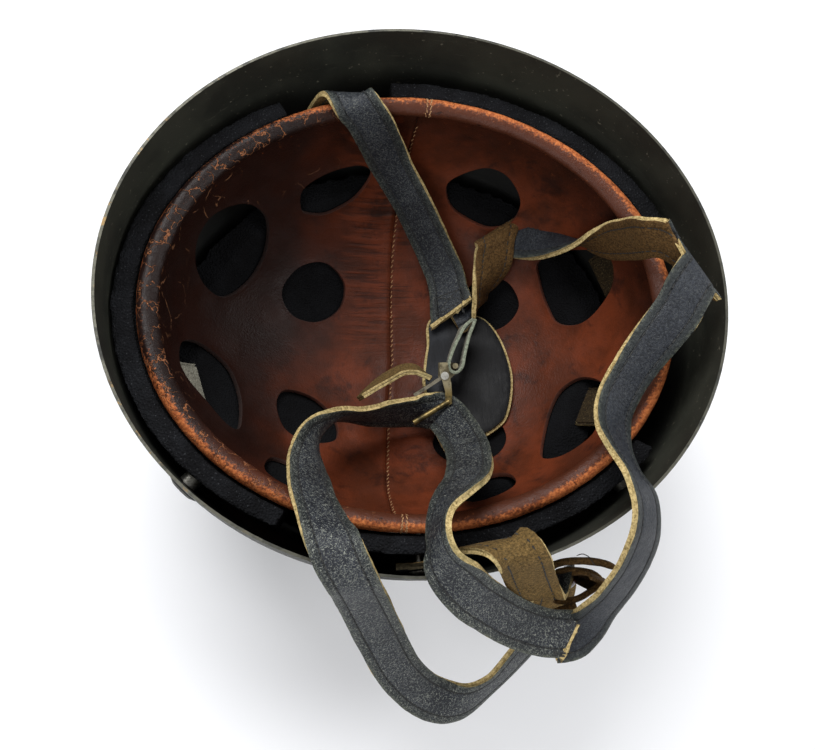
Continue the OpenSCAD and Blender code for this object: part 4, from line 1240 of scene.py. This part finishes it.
flapSheet("flapOuter", 0.88, 1.1, flapGrain, brownSuede, oliveEdge, "ear_guard_outer", 1)
flapSheet("flapLining", -0.86, -0.4, cutEdge, oliveSuede, cutEdge, "ear_guard_lining", 2)
print("flap made")

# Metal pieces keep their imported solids
for node, material in (("shell", shellPaint), ("vented_bolts", shellPaint), ("liner_band", oldSteel),
                       ("band_sleeves", oldSteel), ("tab_rivets", brightSteel), ("strap_rivets", oldSteel),
                       ("button_stud", oldSteel), ("button", buttonLacquer), ("buckle_frame", buckleMetal),
                       ("buckle_pin", brightSteel), ("buckle_lever", wornSteel)):
    dress(nodes[node], material)

# Room: a pale floor and backdrop that stay pale to the camera, and soft lamps
room = {"floor": tone(236, 237, 240), "sky": tone(240, 241, 244), "fill": 0.55}
deselect()
bpy.ops.mesh.primitive_plane_add(size=8, location=(0, 0, -0.0004))
floor = bpy.context.object
floor.name = floor.data.name = "floor"
bpy.ops.object.transform_apply(location=True, rotation=True, scale=True)
p = Paint("pale floor")
p.colour = room["floor"]
dress(floor, p.finish(0.85, 0.2))

world = bpy.data.worlds.new("studio")
bpy.context.scene.world = world
world.use_nodes = True
tree = world.node_tree
tree.nodes.clear()
seen = tree.nodes.new("ShaderNodeLightPath")
pale = tree.nodes.new("ShaderNodeBackground")
pale.inputs["Color"].default_value = room["sky"]
soft = tree.nodes.new("ShaderNodeBackground")
soft.inputs["Color"].default_value = (1, 1, 1, 1)
soft.inputs["Strength"].default_value = room["fill"]
either = tree.nodes.new("ShaderNodeMixShader")
end = tree.nodes.new("ShaderNodeOutputWorld")
tree.links.new(seen.outputs["Is Camera Ray"], either.inputs[0])
tree.links.new(soft.outputs[0], either.inputs[1])
tree.links.new(pale.outputs[0], either.inputs[2])
tree.links.new(either.outputs[0], end.inputs["Surface"])

# each lamp's place, size and power
lamps = {"key": ((-0.35, 0.75, 1.25), 0.9, 20), "side": ((1.1, -0.1, 1.0), 0.9, 7),
         "low": ((-0.6, -0.9, 0.9), 0.9, 6)}
for name, (place, size, power) in lamps.items():
    data = bpy.data.lights.new(name, "AREA")
    data.shape = "DISK"
    data.size = size
    data.energy = power
    lamp = bpy.data.objects.new(name, data)
    bpy.context.collection.objects.link(lamp)
    lamp.location = place
    lamp.rotation_euler = (Vector((0, 0, 0.1)) - Vector(place)).to_track_quat("-Z", "Y").to_euler()

# Camera
cameraView = {"place": (-0.0603, -0.1475, 0.5789), "right": (0.9923, -0.0312, 0.12),
              "up": (0, 0.9678, 0.252), "back": (-0.124, -0.2501, 0.9603), "lens": 44.17}
data = bpy.data.cameras.new("camera")
data.lens = cameraView["lens"]
data.sensor_width = 36
data.clip_start = 0.01
camera = bpy.data.objects.new("camera", data)
bpy.context.collection.objects.link(camera)
turn = Matrix((cameraView["right"], cameraView["up"], cameraView["back"])).transposed()
camera.matrix_world = Matrix.Translation(cameraView["place"]) @ turn.to_4x4()
bpy.context.scene.camera = camera
bpy.context.scene.view_settings.view_transform = "Standard"
print("room, lamps and camera set")
